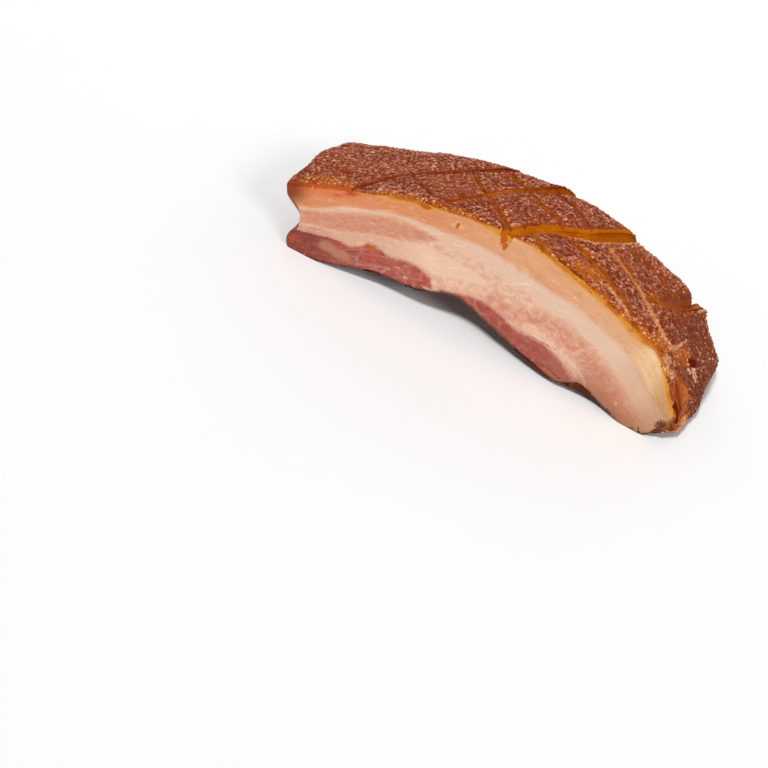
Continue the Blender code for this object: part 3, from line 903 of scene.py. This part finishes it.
# Dried places: (along, up, reach along, reach up, strength), and the stained rim's width there
CRUST = [(296, 0, 12, 5, 1.3), (304, 10, 5, 12, 1.3), (300, 27, 6, 9, 1.4),
         (268, -1.5, 18, 3.2, 0.9)]
RIM_WIDTH = [(0, 1.0), (50, 0.8), (58, 0.9), (75, 2.4), (90, 2.2), (96, 3.4), (104, 1.6),
             (116, 1.3), (135, 2.2), (147, 3.8), (155, 1.8), (175, 2.0), (189, 2.8), (200, 2.6),
             (228, 2.6), (240, 4.0), (250, 3.8), (257, 2.4), (270, 2.4), (285, 4.2), (309, 5.0)]


def region(knots, along, up):
    """How far inside a region of the cut face a place is, in mm; outside it is negative."""
    low = profile([(a, b) for a, b, c in knots], along)
    high = profile([(a, c) for a, b, c in knots], along)
    ends = np.minimum(along - knots[0][0], knots[-1][0] - along)
    return np.minimum(np.minimum(up - low, high - up), ends * 0.5)


def lay_face(shell):
    """Lay the fresh cut face below the rind. Gives back its numbers, and how far below the skin
    they are."""
    zero = np.array([0.0])
    along = np.hstack([stretch_columns(part, zero)[0][:-1] for part in ("left", "middle", "right")]
                      + [[LENGTH]])
    share = np.linspace(0, 1, FACE_ROWS + 1)[:, None]
    band = profile(BAND_FRONT, along)
    up = (THICKNESS - band)[None, :] * share
    turn = smooth(along, LENGTH - CORNER_REACH, LENGTH)[None, :]
    face_along = along[None, :] - turn * profile(BAND_RIGHT, up)
    face_along[-1] = band_along(along)
    face = np.stack([face_along, 0 * up, up], -1)

    # The rind's cuts notch the face's upper edge
    edge = np.stack([along, 0 * along, np.full(along.shape, THICKNESS)], 1)
    deep = cut_fields(along, 0 * along)[0]
    ahead = slab_points(edge + np.array([0.5, 0, 0])) - slab_points(edge - np.array([0.5, 0, 0]))
    inward = slab_points(edge + np.array([0, 1.0, 0])) - slab_points(edge)
    normals = np.cross(ahead, inward)
    normals /= np.linalg.norm(normals, axis=1)[:, None]
    pull = deep[None, :] * smooth(up, (THICKNESS - band - NOTCH_REACH)[None, :],
                                  (THICKNESS - band)[None, :])
    points = slab_points(face) - normals[None] * pull[..., None]
    points[..., 1] += face_relief(face[..., 0], face[..., 2])
    true_place = face.copy()
    true_place[..., 2] -= pull
    face_n = shell.add(points, true_place)
    shell.quads(face_n)
    return face_n, np.minimum(THICKNESS - up - (deep - pull), LENGTH - face_along + 1.5)


def lay_sides(shell):
    """Lay the smoked underside, left end and back, and give back their numbers."""
    backs = np.concatenate([[BODY_FRONT, 1.3], np.linspace(2.6, DEPTH, round(DEPTH / BODY_CELL))])
    climb = np.linspace(0, 1, round(SIDE_HEIGHT / BODY_CELL) + 1)
    along = np.linspace(0, 1, round(LENGTH / BODY_CELL) + 1)
    right_edge = LENGTH - profile(BAND_RIGHT, np.zeros(len(backs)))
    bottom_along = right_edge[:, None] * along[None, :]
    bottom = np.stack([bottom_along, np.broadcast_to(backs[:, None], bottom_along.shape),
                       0 * bottom_along], -1)
    bottom_n = shell.add(rough_side(bottom), bottom)
    shell.quads(bottom_n)
    height = (THICKNESS - profile(BAND_LEFT, backs))[:, None] * climb[None, 1:]
    left = np.stack([0 * height, np.broadcast_to(backs[:, None], height.shape), height], -1)
    left_n = np.hstack([bottom_n[:, :1], shell.add(rough_side(left), left)])
    shell.quads(left_n)
    last = bottom_along[-1]
    height = np.maximum(profile(RIND_EDGE_BACK, last), 0.8)[None, 1:] * climb[1:, None]
    rear = np.stack([np.broadcast_to(last[None, 1:], height.shape), np.full(height.shape, DEPTH),
                     height], -1)
    rear_n = shell.add(rough_side(rear), rear)
    rear_n = np.vstack([bottom_n[-1:], np.hstack([left_n[-1, 1:][:, None], rear_n])])
    shell.quads(rear_n)
    return bottom_n, left_n, rear_n


def make_meat(materials):
    """The meat below the rind: the fine cut face, and the smoked sides in coarser cells."""
    shell = Shell()
    face_n, below = lay_face(shell)
    bottom_n, left_n, rear_n = lay_sides(shell)
    shell.zip(face_n[::-1, 0], left_n[0, ::-1])
    shell.zip(face_n[0], bottom_n[0])

    # The hidden top and right side, under the rind
    backs = np.array([3.0, 20, 40, 60, DEPTH - 15.5])
    inside_n = lay_hidden(shell, backs, [6.0 + 0 * backs, LENGTH - 10.5 + 0 * backs], 90,
                          THICKNESS - HIDDEN_DEPTH - 0.6, 12)
    shell.zip(np.concatenate([face_n[-1], face_n[::-1, -1][1:]]), inside_n[0])
    shell.zip(np.concatenate([face_n[-1:, 0], left_n[:, -1]]), inside_n[:, 0])
    shell.zip(rear_n[-1], inside_n[-1])
    shell.zip(np.concatenate([face_n[:1, -1], bottom_n[:, -1], rear_n[1:, -1]]), inside_n[:, -1])
    piece = make_piece("meat", shell, materials, face_n, below)
    paint_faces(piece.data, np.arange(shell.count), 1)
    paint_faces(piece.data, face_n.ravel(), 0)
    return piece


def rough_side(places):
    """Points of the smoked sides, wrinkled as dried meat is."""
    points = slab_points(places)
    along, back, up = (places[..., side] for side in range(3))
    hollow = smooth(back, 1.0, 12.0) * (1 - smooth(back, 45.0, 80.0)) * (1 - smooth(up, 14.0, 26.0))
    points[..., 0] += LOW_HOLLOW * hollow * (1 - smooth(along, 0.0, 26.0))
    flat = points.reshape(-1, 3)
    wrinkle = 0.5 * ripple(flat, (14.0, 5.0, 4.0), 61) + 0.25 * ripple(flat, (4.0, 3.0, 3.0), 62)
    away = smooth(back, 1.0, 8.0)
    centre = np.array([0.0, 0.5 * DEPTH, 40.0])
    inward = centre - flat
    inward[:, 0] = np.where(along.ravel() < 1.0, 30.0, 0.0)
    inward /= np.linalg.norm(inward, axis=1)[:, None]
    shift = (0.4 + wrinkle) * away.ravel()
    moved = flat + inward * shift[:, None]
    moved[:, 2] = np.maximum(moved[:, 2], 0.0)
    return moved.reshape(points.shape)


# Small marks on the cut face: (along, up, reach along, reach up)
BROWN_SPOTS = [(63.5, 16.5, 2.9, 1.8), (66, 14.8, 2.2, 1.5), (118.5, 44.0, 1.3, 1.9),
               (146.0, 50.0, 2.2, 3.4), (147.4, 46.5, 2.0, 3.2), (149.6, 43.0, 1.9, 2.4),
               (96, 49.2, 4, 1.5), (301, 33, 1.2, 1.6)]
RED_SPOTS = [(36.5, 47.6, 4.5, 1.2), (46, 49.0, 5.5, 1.4), (111, 7.5, 5.0, 4.0), (5, 9, 5, 5),
             (40, 16, 6, 3), (66, 9, 6, 5)]
# The pale spot at (110, 19.5) is a painted highlight where the fat glistens
PALE_SPOTS = [(121, 1.6, 3.4, 1.6), (110, 19.5, 9, 4), (268, 9, 1.5, 1.5), (271, 26.5, 1.2, 1.2),
              (256, 46, 9, 6),
              (99, 36.5, 6, 1.0), (82, 6, 3, 0.9), (88, 9, 4, 0.8), (95, 5, 3, 0.9),
              (152, 49, 5, 1.6), (268, 51, 3, 1.6), (201, 42, 2.0, 1.2), (220, 24.5, 2, 1.4)]


def spots(places, along, up, seed):
    """Ragged spots: 1 at their middles, 0 at their reach and below 0 outside."""
    best = zone([(*place, 1.0) for place in places], along, up)
    flat = on_sheet(along, up)
    ragged = 0.35 * ripple(flat, 1.7, seed) + 0.25 * ripple(flat, 0.9, seed + 1)
    return best + np.where(best > -0.9, ragged, 0.0)


def store_regions(mesh, places):
    """Store how far inside each region of the cut face every point is, and its small marks."""
    along, up = places[:, 0], places[:, 2]
    lean_low = np.maximum(region(LEAN_LOW_LEFT, along, up), region(LEAN_LOW_RIGHT, along, up))
    streaks = np.maximum(region(WHITE_LOW, along, up), region(PALE_STREAK, along, up))
    store(mesh, "lean", np.stack([lean_low, region(LEAN_MIDDLE, along, up),
                                  region(BLUSH, along, up)], 1))
    store(mesh, "pale", np.stack([region(WHITE_HIGH, along, up), streaks,
                                  region(ISLAND, along, up)], 1))
    store(mesh, "spots", np.stack([spots(BROWN_SPOTS, along, up, 71),
                                   spots(RED_SPOTS, along, up, 73),
                                   spots(PALE_SPOTS, along, up, 75)], 1))
    flat = on_sheet(along, up)
    ragged = 0.35 * ripple(flat, 1.6, 77) + 0.45 * ripple(flat, (5.0, 2.5, 1.0), 79)
    store(mesh, "lines", np.stack([ribbon(PALE_LINES, along, up) + ragged,
                                   ribbon(DARK_LINES, along, up) + ragged,
                                   zone(CRUST, along, up) + ragged], 1))


# ---------------------------------------------------------------- finishes

class Wire:
    """A socket that can be added to, multiplied and so on, each with its own Math node."""

    def __init__(self, paint, socket):
        self.paint, self.socket = paint, socket

    def math(self, operation, first, second):
        return self.paint.node("ShaderNodeMath", {"operation": operation}, {0: first, 1: second})

    def __add__(self, other):
        return self.math("ADD", self, other)

    def __mul__(self, other):
        return self.math("MULTIPLY", self, other)

    def __sub__(self, other):
        return self.math("SUBTRACT", self, other)

    def __rsub__(self, other):
        return self.math("SUBTRACT", other, self)

    def __truediv__(self, other):
        return self.math("DIVIDE", self, other)

    def __rtruediv__(self, other):
        return self.math("DIVIDE", other, self)

    __radd__ = __add__
    __rmul__ = __mul__

    def between(self, low, high):
        """0 at low, 1 at high and an even S between them; low may be the larger."""
        return self.paint.node("ShaderNodeMapRange", {"interpolation_type": "SMOOTHSTEP"},
                               {"Value": self, "From Min": low, "From Max": high})

    def parts(self):
        """The three numbers of a vector."""
        split = self.paint.node("ShaderNodeSeparateXYZ", values={"Vector": self})
        return [Wire(self.paint, output) for output in split.socket.node.outputs]


def tint(red, green, blue):
    """A colour as a screen shows it, 0 to 255, in the shader's own measure."""
    shares = (value / 255 for value in (red, green, blue))
    return tuple(share / 12.92 if share <= 0.04045 else ((share + 0.055) / 1.055) ** 2.4
                 for share in shares)


class Paint:
    """One material's nodes. Its colours are given as a screen shows them, 0 to 255."""

    def __init__(self, name):
        self.material = bpy.data.materials.new(name)
        self.material.use_nodes = True
        self.tree = self.material.node_tree
        self.shader = self.tree.nodes["Principled BSDF"]

    def node(self, kind, settings=None, values=None, output=0):
        """Add a node: its own settings first, then what its sockets hold or are joined to."""
        made = self.tree.nodes.new(kind)
        for key, value in (settings or {}).items():
            setattr(made, key, value)
        for key, value in (values or {}).items():
            self.join(value, made.inputs[key])
        return Wire(self, made.outputs[output])

    def join(self, value, socket):
        """Give a socket a wire, a number, a vector or a colour."""
        if isinstance(value, Wire):
            self.tree.links.new(value.socket, socket)
        elif socket.type == "RGBA":
            socket.default_value = (*tint(*value), 1)
        else:
            socket.default_value = value

    def set(self, **values):
        """Set or join the shader's own sockets, whose names have _ for spaces."""
        for key, value in values.items():
            self.join(value, self.shader.inputs[key.replace("_", " ")])

    def attribute(self, name):
        return self.node("ShaderNodeAttribute", {"attribute_name": name}, output=1)

    def objects_own(self):
        return self.node("ShaderNodeTexCoord", output=3)

    def stretched(self, vector, scales):
        """A vector with each of its parts scaled by itself."""
        settings = {"operation": "MULTIPLY"}
        return self.node("ShaderNodeVectorMath", settings, {0: vector, 1: scales})

    def noise(self, vector, scale, detail=3.0, roughness=0.55, distortion=0.0):
        """Cloudy noise, about 0.2 to 0.8, of one scale or of one for each direction."""
        if isinstance(scale, tuple):
            vector, scale = self.stretched(vector, scale), 1.0
        return self.node("ShaderNodeTexNoise", None, {
            "Vector": vector, "Scale": scale, "Detail": detail, "Roughness": roughness,
            "Distortion": distortion})

    def cells(self, vector, scale, feature="F1"):
        return self.node("ShaderNodeTexVoronoi", {"feature": feature},
                         {"Vector": vector, "Scale": scale})

    def mix(self, share, first, second):
        """A colour between two others."""
        settings = {"data_type": "RGBA", "clamp_factor": True}
        return self.node("ShaderNodeMix", settings, {0: share, 6: first, 7: second}, output=2)

    def layers(self, colour, *coats):
        """Lay coats (share, colour) over a colour, one after another."""
        for share, coat in coats:
            colour = self.mix(share, colour, coat)
        return colour

    def bumps(self, height, distance, strength):
        return self.node("ShaderNodeBump", None,
                         {"Height": height, "Distance": distance, "Strength": strength})


def rind_finish():
    """Smoked skin: reddish brown with glossy pimples, some of whose tops carry a painted glint,
    amber where it is bare or cut.
    """
    paint = Paint("smoked_rind")
    own = paint.objects_own()
    deep, dots, near = paint.attribute("marks").parts()
    tone, amber_zone, pale_zone = paint.attribute("zones").parts()
    luck, wet, bare = paint.attribute("extra").parts()
    along, back, _ = paint.attribute("place").parts()
    patches = paint.noise(own, 38.0, 4.0)
    drift = paint.noise(own, 90.0)
    mottle = paint.noise(own, 260.0)
    fine = paint.noise(own, 900.0, 2.0)
    grain = (mottle - 0.5) * 0.7 + (fine - 0.5) * 0.3
    pimple = dots + grain * 0.4
    pimple_top = dots + grain * 0.3

    # The skin: brown, then stained amber by fat, with dark hollows between pale pimples; following
    # the pimples' relief, the hollows are partly painted shade and the tops partly painted
    # highlight
    hollow = paint.layers(
        paint.mix(patches.between(0.38, 0.62), (108, 34, 10), (138, 54, 14)),
        (mottle.between(0.5, 0.7) * 0.6, (92, 26, 12)))
    top = paint.layers(
        paint.mix(luck.between(0.15, 0.85), (136, 67, 42), (194, 122, 88)),
        (drift.between(0.4, 0.65) * 0.5, (142, 78, 58)))
    brown = paint.layers(
        paint.mix(pimple.between(0.12, 0.72), hollow, top),
        # painted shade: the skin darkens towards the wrapped right end, which faces away from the
        # light
        (along.between(235.0, 275.0) * 0.55, (94, 42, 24)))
    # Stained skin: again partly painted shade in the hollows and painted highlight on the pale tops
    hollow = paint.mix(drift.between(0.38, 0.62), (140, 52, 6), (176, 90, 10))
    top = paint.mix(luck.between(0.2, 0.9), (164, 80, 22), (214, 148, 98))
    stained = paint.mix(pimple.between(0.25, 0.8), hollow, top)
    # Painted glints: a pale colour on the tops of some pimples, more of them near the front edge
    painted_glint = (luck + back.between(9.0, 3.0) * 0.16).between(0.8, 0.95)
    glaze = paint.mix((drift * 0.5 + mottle * 0.5).between(0.42, 0.58), (150, 58, 3), (188, 98, 12))
    shoulder = paint.mix(tone.between(0.1, 0.95), (118, 38, 12), (176, 94, 6))
    lip = tone.between(0.51, 0.55) * tone.between(0.64, 0.58) * back.between(36.0, 44.0)
    beside = (near + grain * 0.5).between(0.5, 0.95) * tone.between(-0.2, 0.5)
    crumb = paint.layers(
        paint.mix(fine.between(0.4, 0.6), (190, 120, 80), (226, 170, 132)),
        (pale_zone.between(1.1, 1.8), (234, 190, 162)))
    skin = paint.layers(
        brown,
        ((amber_zone + grain * 1.1).between(0.0, 0.4) * 0.95, stained),
        # painted glint on some pimples' tops
        (painted_glint * pimple_top.between(0.6, 0.9) * 0.6, (238, 182, 148)),
        (bare * (0.95 - mottle.between(0.5, 0.65) * 0.35), glaze),
        (beside * (1 - lip * 0.95), shoulder),
        ((pale_zone + grain * 1.6).between(0.05, 0.7) * 0.75, crumb),
        (wet.between(0.0, 0.6) * 0.95, (104, 22, 1)),
        (wet.between(0.0, -0.8) * 0.7, (124, 34, 10)))

    # Inside the cuts, from dark ones to pale ones, and the wall of the right open cut with painted
    # light and shade
    sag = deep + (drift - 0.5) * 1.6 + grain
    # Painted light on the lip's wall: darker at its upper edge as painted shade, a painted
    # highlight band towards the back, and painted shadow at its bottom
    lip_painted_light = paint.layers(
        paint.mix(sag.between(0.4, 1.1), (112, 58, 36), (150, 66, 20)),
        (sag.between(1.9, 2.5) * back.between(62.0, 76.0), (172, 106, 54)),
        (sag.between(3.2, 4.2), (104, 16, 1)))
    inside = paint.layers(
        paint.mix(mottle.between(0.4, 0.6), (104, 30, 8), (136, 50, 10)),
        (tone.between(0.05, 0.55),
         paint.mix(mottle.between(0.4, 0.6), (140, 48, 8), (172, 92, 40))),
        (tone.between(0.62, 0.85),
         paint.mix(drift.between(0.4, 0.62), (166, 82, 1), (184, 100, 6))),
        (tone.between(0.88, 1.0), (190, 122, 76)),
        (lip, lip_painted_light))
    paint.set(Base_Color=paint.mix((deep + fine * 0.5).between(0.35, 0.95), skin, inside))

    # Wax on the pimples' tops, which fades at the wrapped end and where the skin is torn or wet
    wax = pimple_top.between(0.5, 0.9) * (0.6 - along.between(225.0, 260.0) * 0.3) + bare * 0.08
    wax = wax * deep.between(1.5, 0.3) * wet.between(0.5, 0.1)
    paint.set(Coat_Weight=wax * pale_zone.between(0.6, 0.0) * near.between(0.95, 0.6),
              Coat_Roughness=0.16, Coat_IOR=1.75, Specular_IOR_Level=0.02,
              Roughness=0.5 + mottle * 0.2,
              Normal=paint.bumps(fine * 0.6 - paint.cells(own, 800.0), 0.0003, 0.5))
    return paint.material


def cut_finish():
    """The fresh cut: layers of fat and lean under a thin stained rim."""
    paint = Paint("fresh_cut")
    place = paint.attribute("place")
    along, _, up = place.parts()
    lean_low, lean_mid, blush = paint.attribute("lean").parts()
    white_high, streaks, island = paint.attribute("pale").parts()
    brown_spot, red_spot, pale_spot = paint.attribute("spots").parts()
    pale_line, dark_line, crust = paint.attribute("lines").parts()
    under, rim_width, _ = paint.attribute("rim").parts()

    # Noises drawn out along the slab, as its layers are
    waver = paint.noise(place, (0.06, 0.0, 0.26), 4.0) - 0.5
    small = paint.noise(place, (0.42, 0.0, 0.8), 5.0, 0.68) - 0.5
    fibre = paint.noise(place, (0.16, 0.0, 1.5), 5.0)
    blotch = paint.noise(place, (0.10, 0.0, 0.17), 4.0)
    cloud = paint.noise(place, (0.2, 0.0, 0.3), 4.0, distortion=0.6)
    fleck = paint.noise(place, (0.30, 0.0, 1.0), 5.0, 0.65, 0.8)
    vein = paint.noise(place, (0.22, 0.3, 0.8), 5.0, 0.65, 0.5)
    streaky = paint.noise(place, (0.07, 0.0, 0.42), 4.0, 0.6, 0.5)
    crumb = paint.noise(paint.objects_own(), 620.0)
    bundle = paint.cells(paint.stretched(place, (0.085, 0.0, 0.14)), 1.0, "DISTANCE_TO_EDGE")
    bundle = bundle + (cloud - 0.5) * 0.5 + small * 0.2
    warp = waver * 3.4 + small * 3.0

    # Fat, from the skin down
    fat = paint.layers(
        paint.mix(along.between(80.0, 160.0), (204, 128, 82), (209, 151, 109)),
        (along.between(190.0, 215.0), (210, 157, 118)),
        (along.between(242.0, 260.0), (219, 182, 136)),
        (along.between(264.0, 286.0), (184, 136, 86)),
        ((blotch - 0.5 + small * 0.5).between(0.0, 0.2) * 0.4, (198, 126, 93)),
        (cloud.between(0.55, 0.75) * 0.4, (225, 172, 126)),
        (streaky.between(0.56, 0.7) * 0.4, (230, 184, 144)),
        (streaky.between(0.46, 0.34) * 0.4, (198, 128, 92)))
    cream = paint.layers(
        paint.mix(cloud.between(0.35, 0.65), (208, 158, 130), (222, 181, 156)),
        (along.between(235.0, 255.0), (205, 158, 127)))
    edge = (up - 36.0 + warp + along.between(170.0, 200.0)).between(-2.0, 2.0)
    high = paint.layers(
        paint.mix(along.between(90.0, 200.0), (214, 175, 149), (214, 181, 157)),
        (along.between(240.0, 265.0), (207, 165, 137)))
    low = paint.layers(
        paint.mix(along.between(70.0, 110.0), (204, 158, 131), (221, 183, 156)),
        (along.between(40.0, 20.0), (184, 128, 102)))
    meat = paint.layers(
        paint.mix(fibre.between(0.35, 0.7), (187, 118, 89), (202, 141, 112)),
        (cloud.between(0.4, 0.7) * 0.6, (208, 143, 118)))
    salmon = paint.layers(
        paint.mix(cloud.between(0.4, 0.65), (194, 126, 99), (207, 151, 126)),
        (along.between(244.0, 262.0) * up.between(14.0, 4.0), (175, 109, 80)))
    colour = paint.layers(
        paint.mix(edge, cream, fat),
        ((white_high + warp * 0.9).between(-1.6, 1.8) * 0.9, high),
        ((streaks + warp * 0.9).between(-1.4, 1.6) * 0.9, low),
        ((lean_mid + warp).between(-1.6, 2.2) * 0.95, meat),
        ((blush + warp * 1.4).between(-3.0, 4.5) * 0.9, salmon),
        (fleck.between(0.56, 0.74) * 0.4, (231, 202, 177)),
        (vein.between(0.58, 0.72) * 0.4, (195, 130, 103)))

    # The deep lean, browner towards its ends
    red = paint.layers(
        paint.mix((cloud * 0.6 + fibre * 0.4).between(0.36, 0.64), (134, 57, 46), (168, 90, 76)),
        (bundle.between(0.12, 0.0) * 0.5, (202, 134, 114)),
        (blotch.between(0.4, 0.62) * 0.7, (166, 78, 66)),
        (along.between(150.0, 180.0) * 0.5, (142, 68, 54)),
        (along.between(60.0, 20.0) * 0.85, (124, 48, 34)),
        (cloud.between(0.55, 0.72) * 0.45, (182, 102, 87)),
        (along.between(112.0, 122.0) * along.between(146.0, 134.0) * 0.8, (124, 64, 50)))
    lean = (lean_low + warp * 0.7 + (fleck - 0.5) * 3.0).between(-1.3, 1.9)
    skirt = lean_low + warp * 0.55
    top_edge = skirt.between(0.0, 0.8) * skirt.between(3.0, 1.0) * along.between(60.0, 20.0)
    colour = paint.layers(
        colour,
        ((lean_low + warp * 1.2).between(-4.5, 0.5) * 0.4, (204, 138, 116)),
        (lean, red),
        (top_edge * 0.6, (122, 43, 38)),
        ((island + warp * 1.2).between(-2.0, 2.4) * 0.7, (179, 124, 93)),
        ((fleck + fibre * 0.3).between(0.72, 0.86) * lean * 0.35, (216, 153, 139)),
        ((up + warp).between(24.0, 4.0) * along.between(195.0, 245.0) * 0.6, (168, 104, 78)))

    # The skin's stain along the top edge, and the crisp left edge
    ragged = small * 1.6 + (crumb - 0.5) * 0.8
    below = under + ragged
    rim = below / rim_width
    left = along.between(60.0, 42.0)
    seep = (under + ragged * 2.0 + streaky * 8.0).between(13.0, 6.0)
    crisp = (along + small * 4.0).between(6.5, 3.0)
    crisp = crisp * up.between(10.0, 18.0) * up.between(46.0, 36.0)
    gold = paint.mix(blotch.between(0.42, 0.58), (185, 99, 10), (205, 136, 40))
    colour = paint.layers(
        colour,
        (seep * left * 0.7, (206, 106, 62)),
        (below.between(3.6, 2.0) * left * 0.9, (176, 70, 8)),
        (along.between(22.0, 4.0) * (up + warp).between(36.0, 44.0) * 0.9, (116, 44, 18)),
        (crisp * 0.85, (118, 50, 32)),
        (rim.between(2.8, 0.8) * (1 - left) * 0.6, (212, 156, 78)),
        (rim.between(1.8, 0.7) * (1 - left * 0.9) * 0.97, gold),
        (below.between(0.9, 0.2) * 0.5, (150, 72, 6)))

    # Small marks, the browned right edge, the darker lower edge and painted shade low on the right
    side = LENGTH - 4.0 - along + small * 3.0
    floor_edge = paint.mix(along.between(40.0, 120.0), (92, 34, 28), (66, 28, 22))
    # Painted shade: the face darkens towards the floor at the right
    shade = (up + small * 5.0).between(9.0, 1.0) * along.between(226.0, 244.0)
    scab = paint.mix(crumb.between(0.5, 0.68), (84, 42, 26), (150, 98, 66))
    colour = paint.layers(
        colour,
        (red_spot.between(0.0, 0.8) * 0.8, (172, 66, 52)),
        (pale_spot.between(0.1, 0.8) * 0.6, (229, 193, 154)),
        (pale_line.between(0.2, 1.2) * 0.55, (231, 200, 177)),
        (brown_spot.between(-0.15, 0.35) * 0.95, (176, 82, 8)),
        (side.between(34.0, 12.0) * up.between(42.0, 30.0) * 0.5, (170, 122, 84)),
        (side.between(7.0, 3.0) * 0.8, (124, 72, 38)),
        ((up + small * 2.5).between(2.8, 0.4) * 0.85, floor_edge),
        (shade * 0.6, (146, 94, 66)),
        ((crust + small * 0.6).between(0.0, 0.35) * 0.9, scab),
        (dark_line.between(0.3, 1.2) * 0.7, (84, 36, 20)))
    glisten = (fleck + crumb * 0.3).between(0.6, 0.85) * 0.5 + 0.1
    paint.set(Base_Color=colour, Roughness=0.36 + small * 0.3, Specular_IOR_Level=0.08,
              Coat_Weight=glisten * rim.between(1.5, 3.0), Coat_Roughness=0.2, Coat_IOR=1.7,
              Normal=paint.bumps(crumb * 0.9 + fibre * 1.4 + fleck * 1.2, 0.0004, 0.6))
    return paint.material


def smoked_and_shaded_finish():
    """The smoked sides and underside: dark mahogany meat with the fat browned, its colours painted
    darker as shade.
    """
    paint = Paint("smoked_side_shaded")
    own = paint.objects_own()
    place = paint.attribute("place")
    along, back, _ = place.parts()
    streak = paint.noise(place, (0.05, 0.05, 0.35), 4.0)
    fine = paint.noise(own, 500.0)
    # Painted shade: the smoked colours are darker than the meat's own, standing in for the shade
    # under and beside the slab
    colour = paint.layers(
        paint.mix(paint.noise(own, 60.0, 4.0).between(0.35, 0.65), (62, 22, 15), (100, 40, 22)),
        (streak.between(0.5, 0.62) * 0.6, (150, 82, 38)),
        (fine.between(0.45, 0.7) * 0.4, (70, 26, 20)),
        (back.between(16.0, 2.0) * along.between(30.0, 8.0) * 0.7, (140, 66, 42)))
    paint.set(Base_Color=colour, Roughness=0.42 + fine * 0.2, Specular_IOR_Level=0.06,
              Normal=paint.bumps(fine, 0.0006, 0.6))
    return paint.material


def floor_finish():
    """Pale matt card, hardly clouded."""
    paint = Paint("pale_floor")
    cloud = paint.noise(paint.objects_own(), 2.0, 2.0)
    paint.set(Base_Color=paint.mix(cloud, (238.61, 238.61, 238.61), (243.44, 243.44, 243.44)),
              Roughness=0.9)
    return paint.material


# ---------------------------------------------------------------- the pieces

rind_materials = [rind_finish(), cut_finish()]
pieces = [make_rind(stretch, rind_materials) for stretch in ("left", "middle", "right")]
pieces.append(make_meat([rind_materials[1], smoked_and_shaded_finish()]))
for piece in pieces:
    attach(piece, "root")
    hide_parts(NODE)


# ---------------------------------------------------------------- floor, light and camera

FLOOR_HALF_WIDTH = 6.0
FLOOR_FRONT = -3.0
FLOOR_TURN = 2.2                    # how far behind the slab the floor curves up
FLOOR_RADIUS = 1.0
FLOOR_STEPS = 12
WALL_TOP = 4.0
LIGHT_AIM = (0, 0, 0.03)
LIGHTS = {"key": ((-0.15, -0.75, 1.0), 8.0, 2.3),       # where from, spread in degrees, power
          "fill": ((0.9, -0.6, 0.7), 18.0, 0.95)}
SKY_STRENGTH = 0.27
LENS = 56.18
CAMERA_PLACE = (0.1499, -0.6263, 0.4254)
CAMERA_RIGHT = (0.8489, 0.4735, 0.2347)
CAMERA_UP = (-0.4702, 0.4739, 0.7445)


def make_floor():
    """A pale floor that curves up into a wall far behind."""
    line = [(FLOOR_FRONT, 0.0), (FLOOR_TURN, 0.0)]
    for step in range(1, FLOOR_STEPS + 1):
        angle = step / FLOOR_STEPS * math.pi / 2
        line.append((FLOOR_TURN + FLOOR_RADIUS * math.sin(angle),
                     FLOOR_RADIUS * (1 - math.cos(angle))))
    line.append((FLOOR_TURN + FLOOR_RADIUS, WALL_TOP))
    points = [(side * FLOOR_HALF_WIDTH, y, z) for y, z in line for side in (-1, 1)]
    faces = [(2 * i, 2 * i + 1, 2 * i + 3, 2 * i + 2) for i in range(len(line) - 1)]
    mesh = bpy.data.meshes.new("floor")
    mesh.from_pydata(points, [], faces)
    mesh.shade_smooth()
    mesh.materials.append(floor_finish())
    put_in_scene("floor", mesh)


def make_lights():
    """Soft far lights that shine towards the slab, and an even pale sky."""
    for name, (place, spread, power) in LIGHTS.items():
        lamp = bpy.data.lights.new(name, "SUN")
        lamp.angle = math.radians(spread)
        lamp.energy = power
        light = put_in_scene(name, lamp)
        light.location = place
        aim = Vector(LIGHT_AIM) - Vector(place)
        light.rotation_euler = aim.to_track_quat("-Z", "Y").to_euler()
    sky = bpy.data.worlds.new("studio")
    bpy.context.scene.world = sky
    sky.use_nodes = True
    glow = sky.node_tree.nodes["Background"]
    glow.inputs["Color"].default_value = (1, 1, 1, 1)
    glow.inputs["Strength"].default_value = SKY_STRENGTH
    bpy.context.scene.view_settings.view_transform = "Standard"


def make_camera():
    """The photograph's view, from the front and above, a little to the right."""
    lens = bpy.data.cameras.new("camera")
    lens.sensor_width = 36.0
    lens.lens = LENS
    lens.clip_start = 0.05
    lens.clip_end = 50.0
    right = Vector(CAMERA_RIGHT).normalized()
    up = Vector(CAMERA_UP)
    up = (up - right * up.dot(right)).normalized()
    turn = Matrix((right, up, right.cross(up))).transposed().to_4x4()
    camera = put_in_scene("camera", lens)
    camera.matrix_world = Matrix.Translation(CAMERA_PLACE) @ turn
    bpy.context.scene.camera = camera


make_floor()
make_lights()
make_camera()
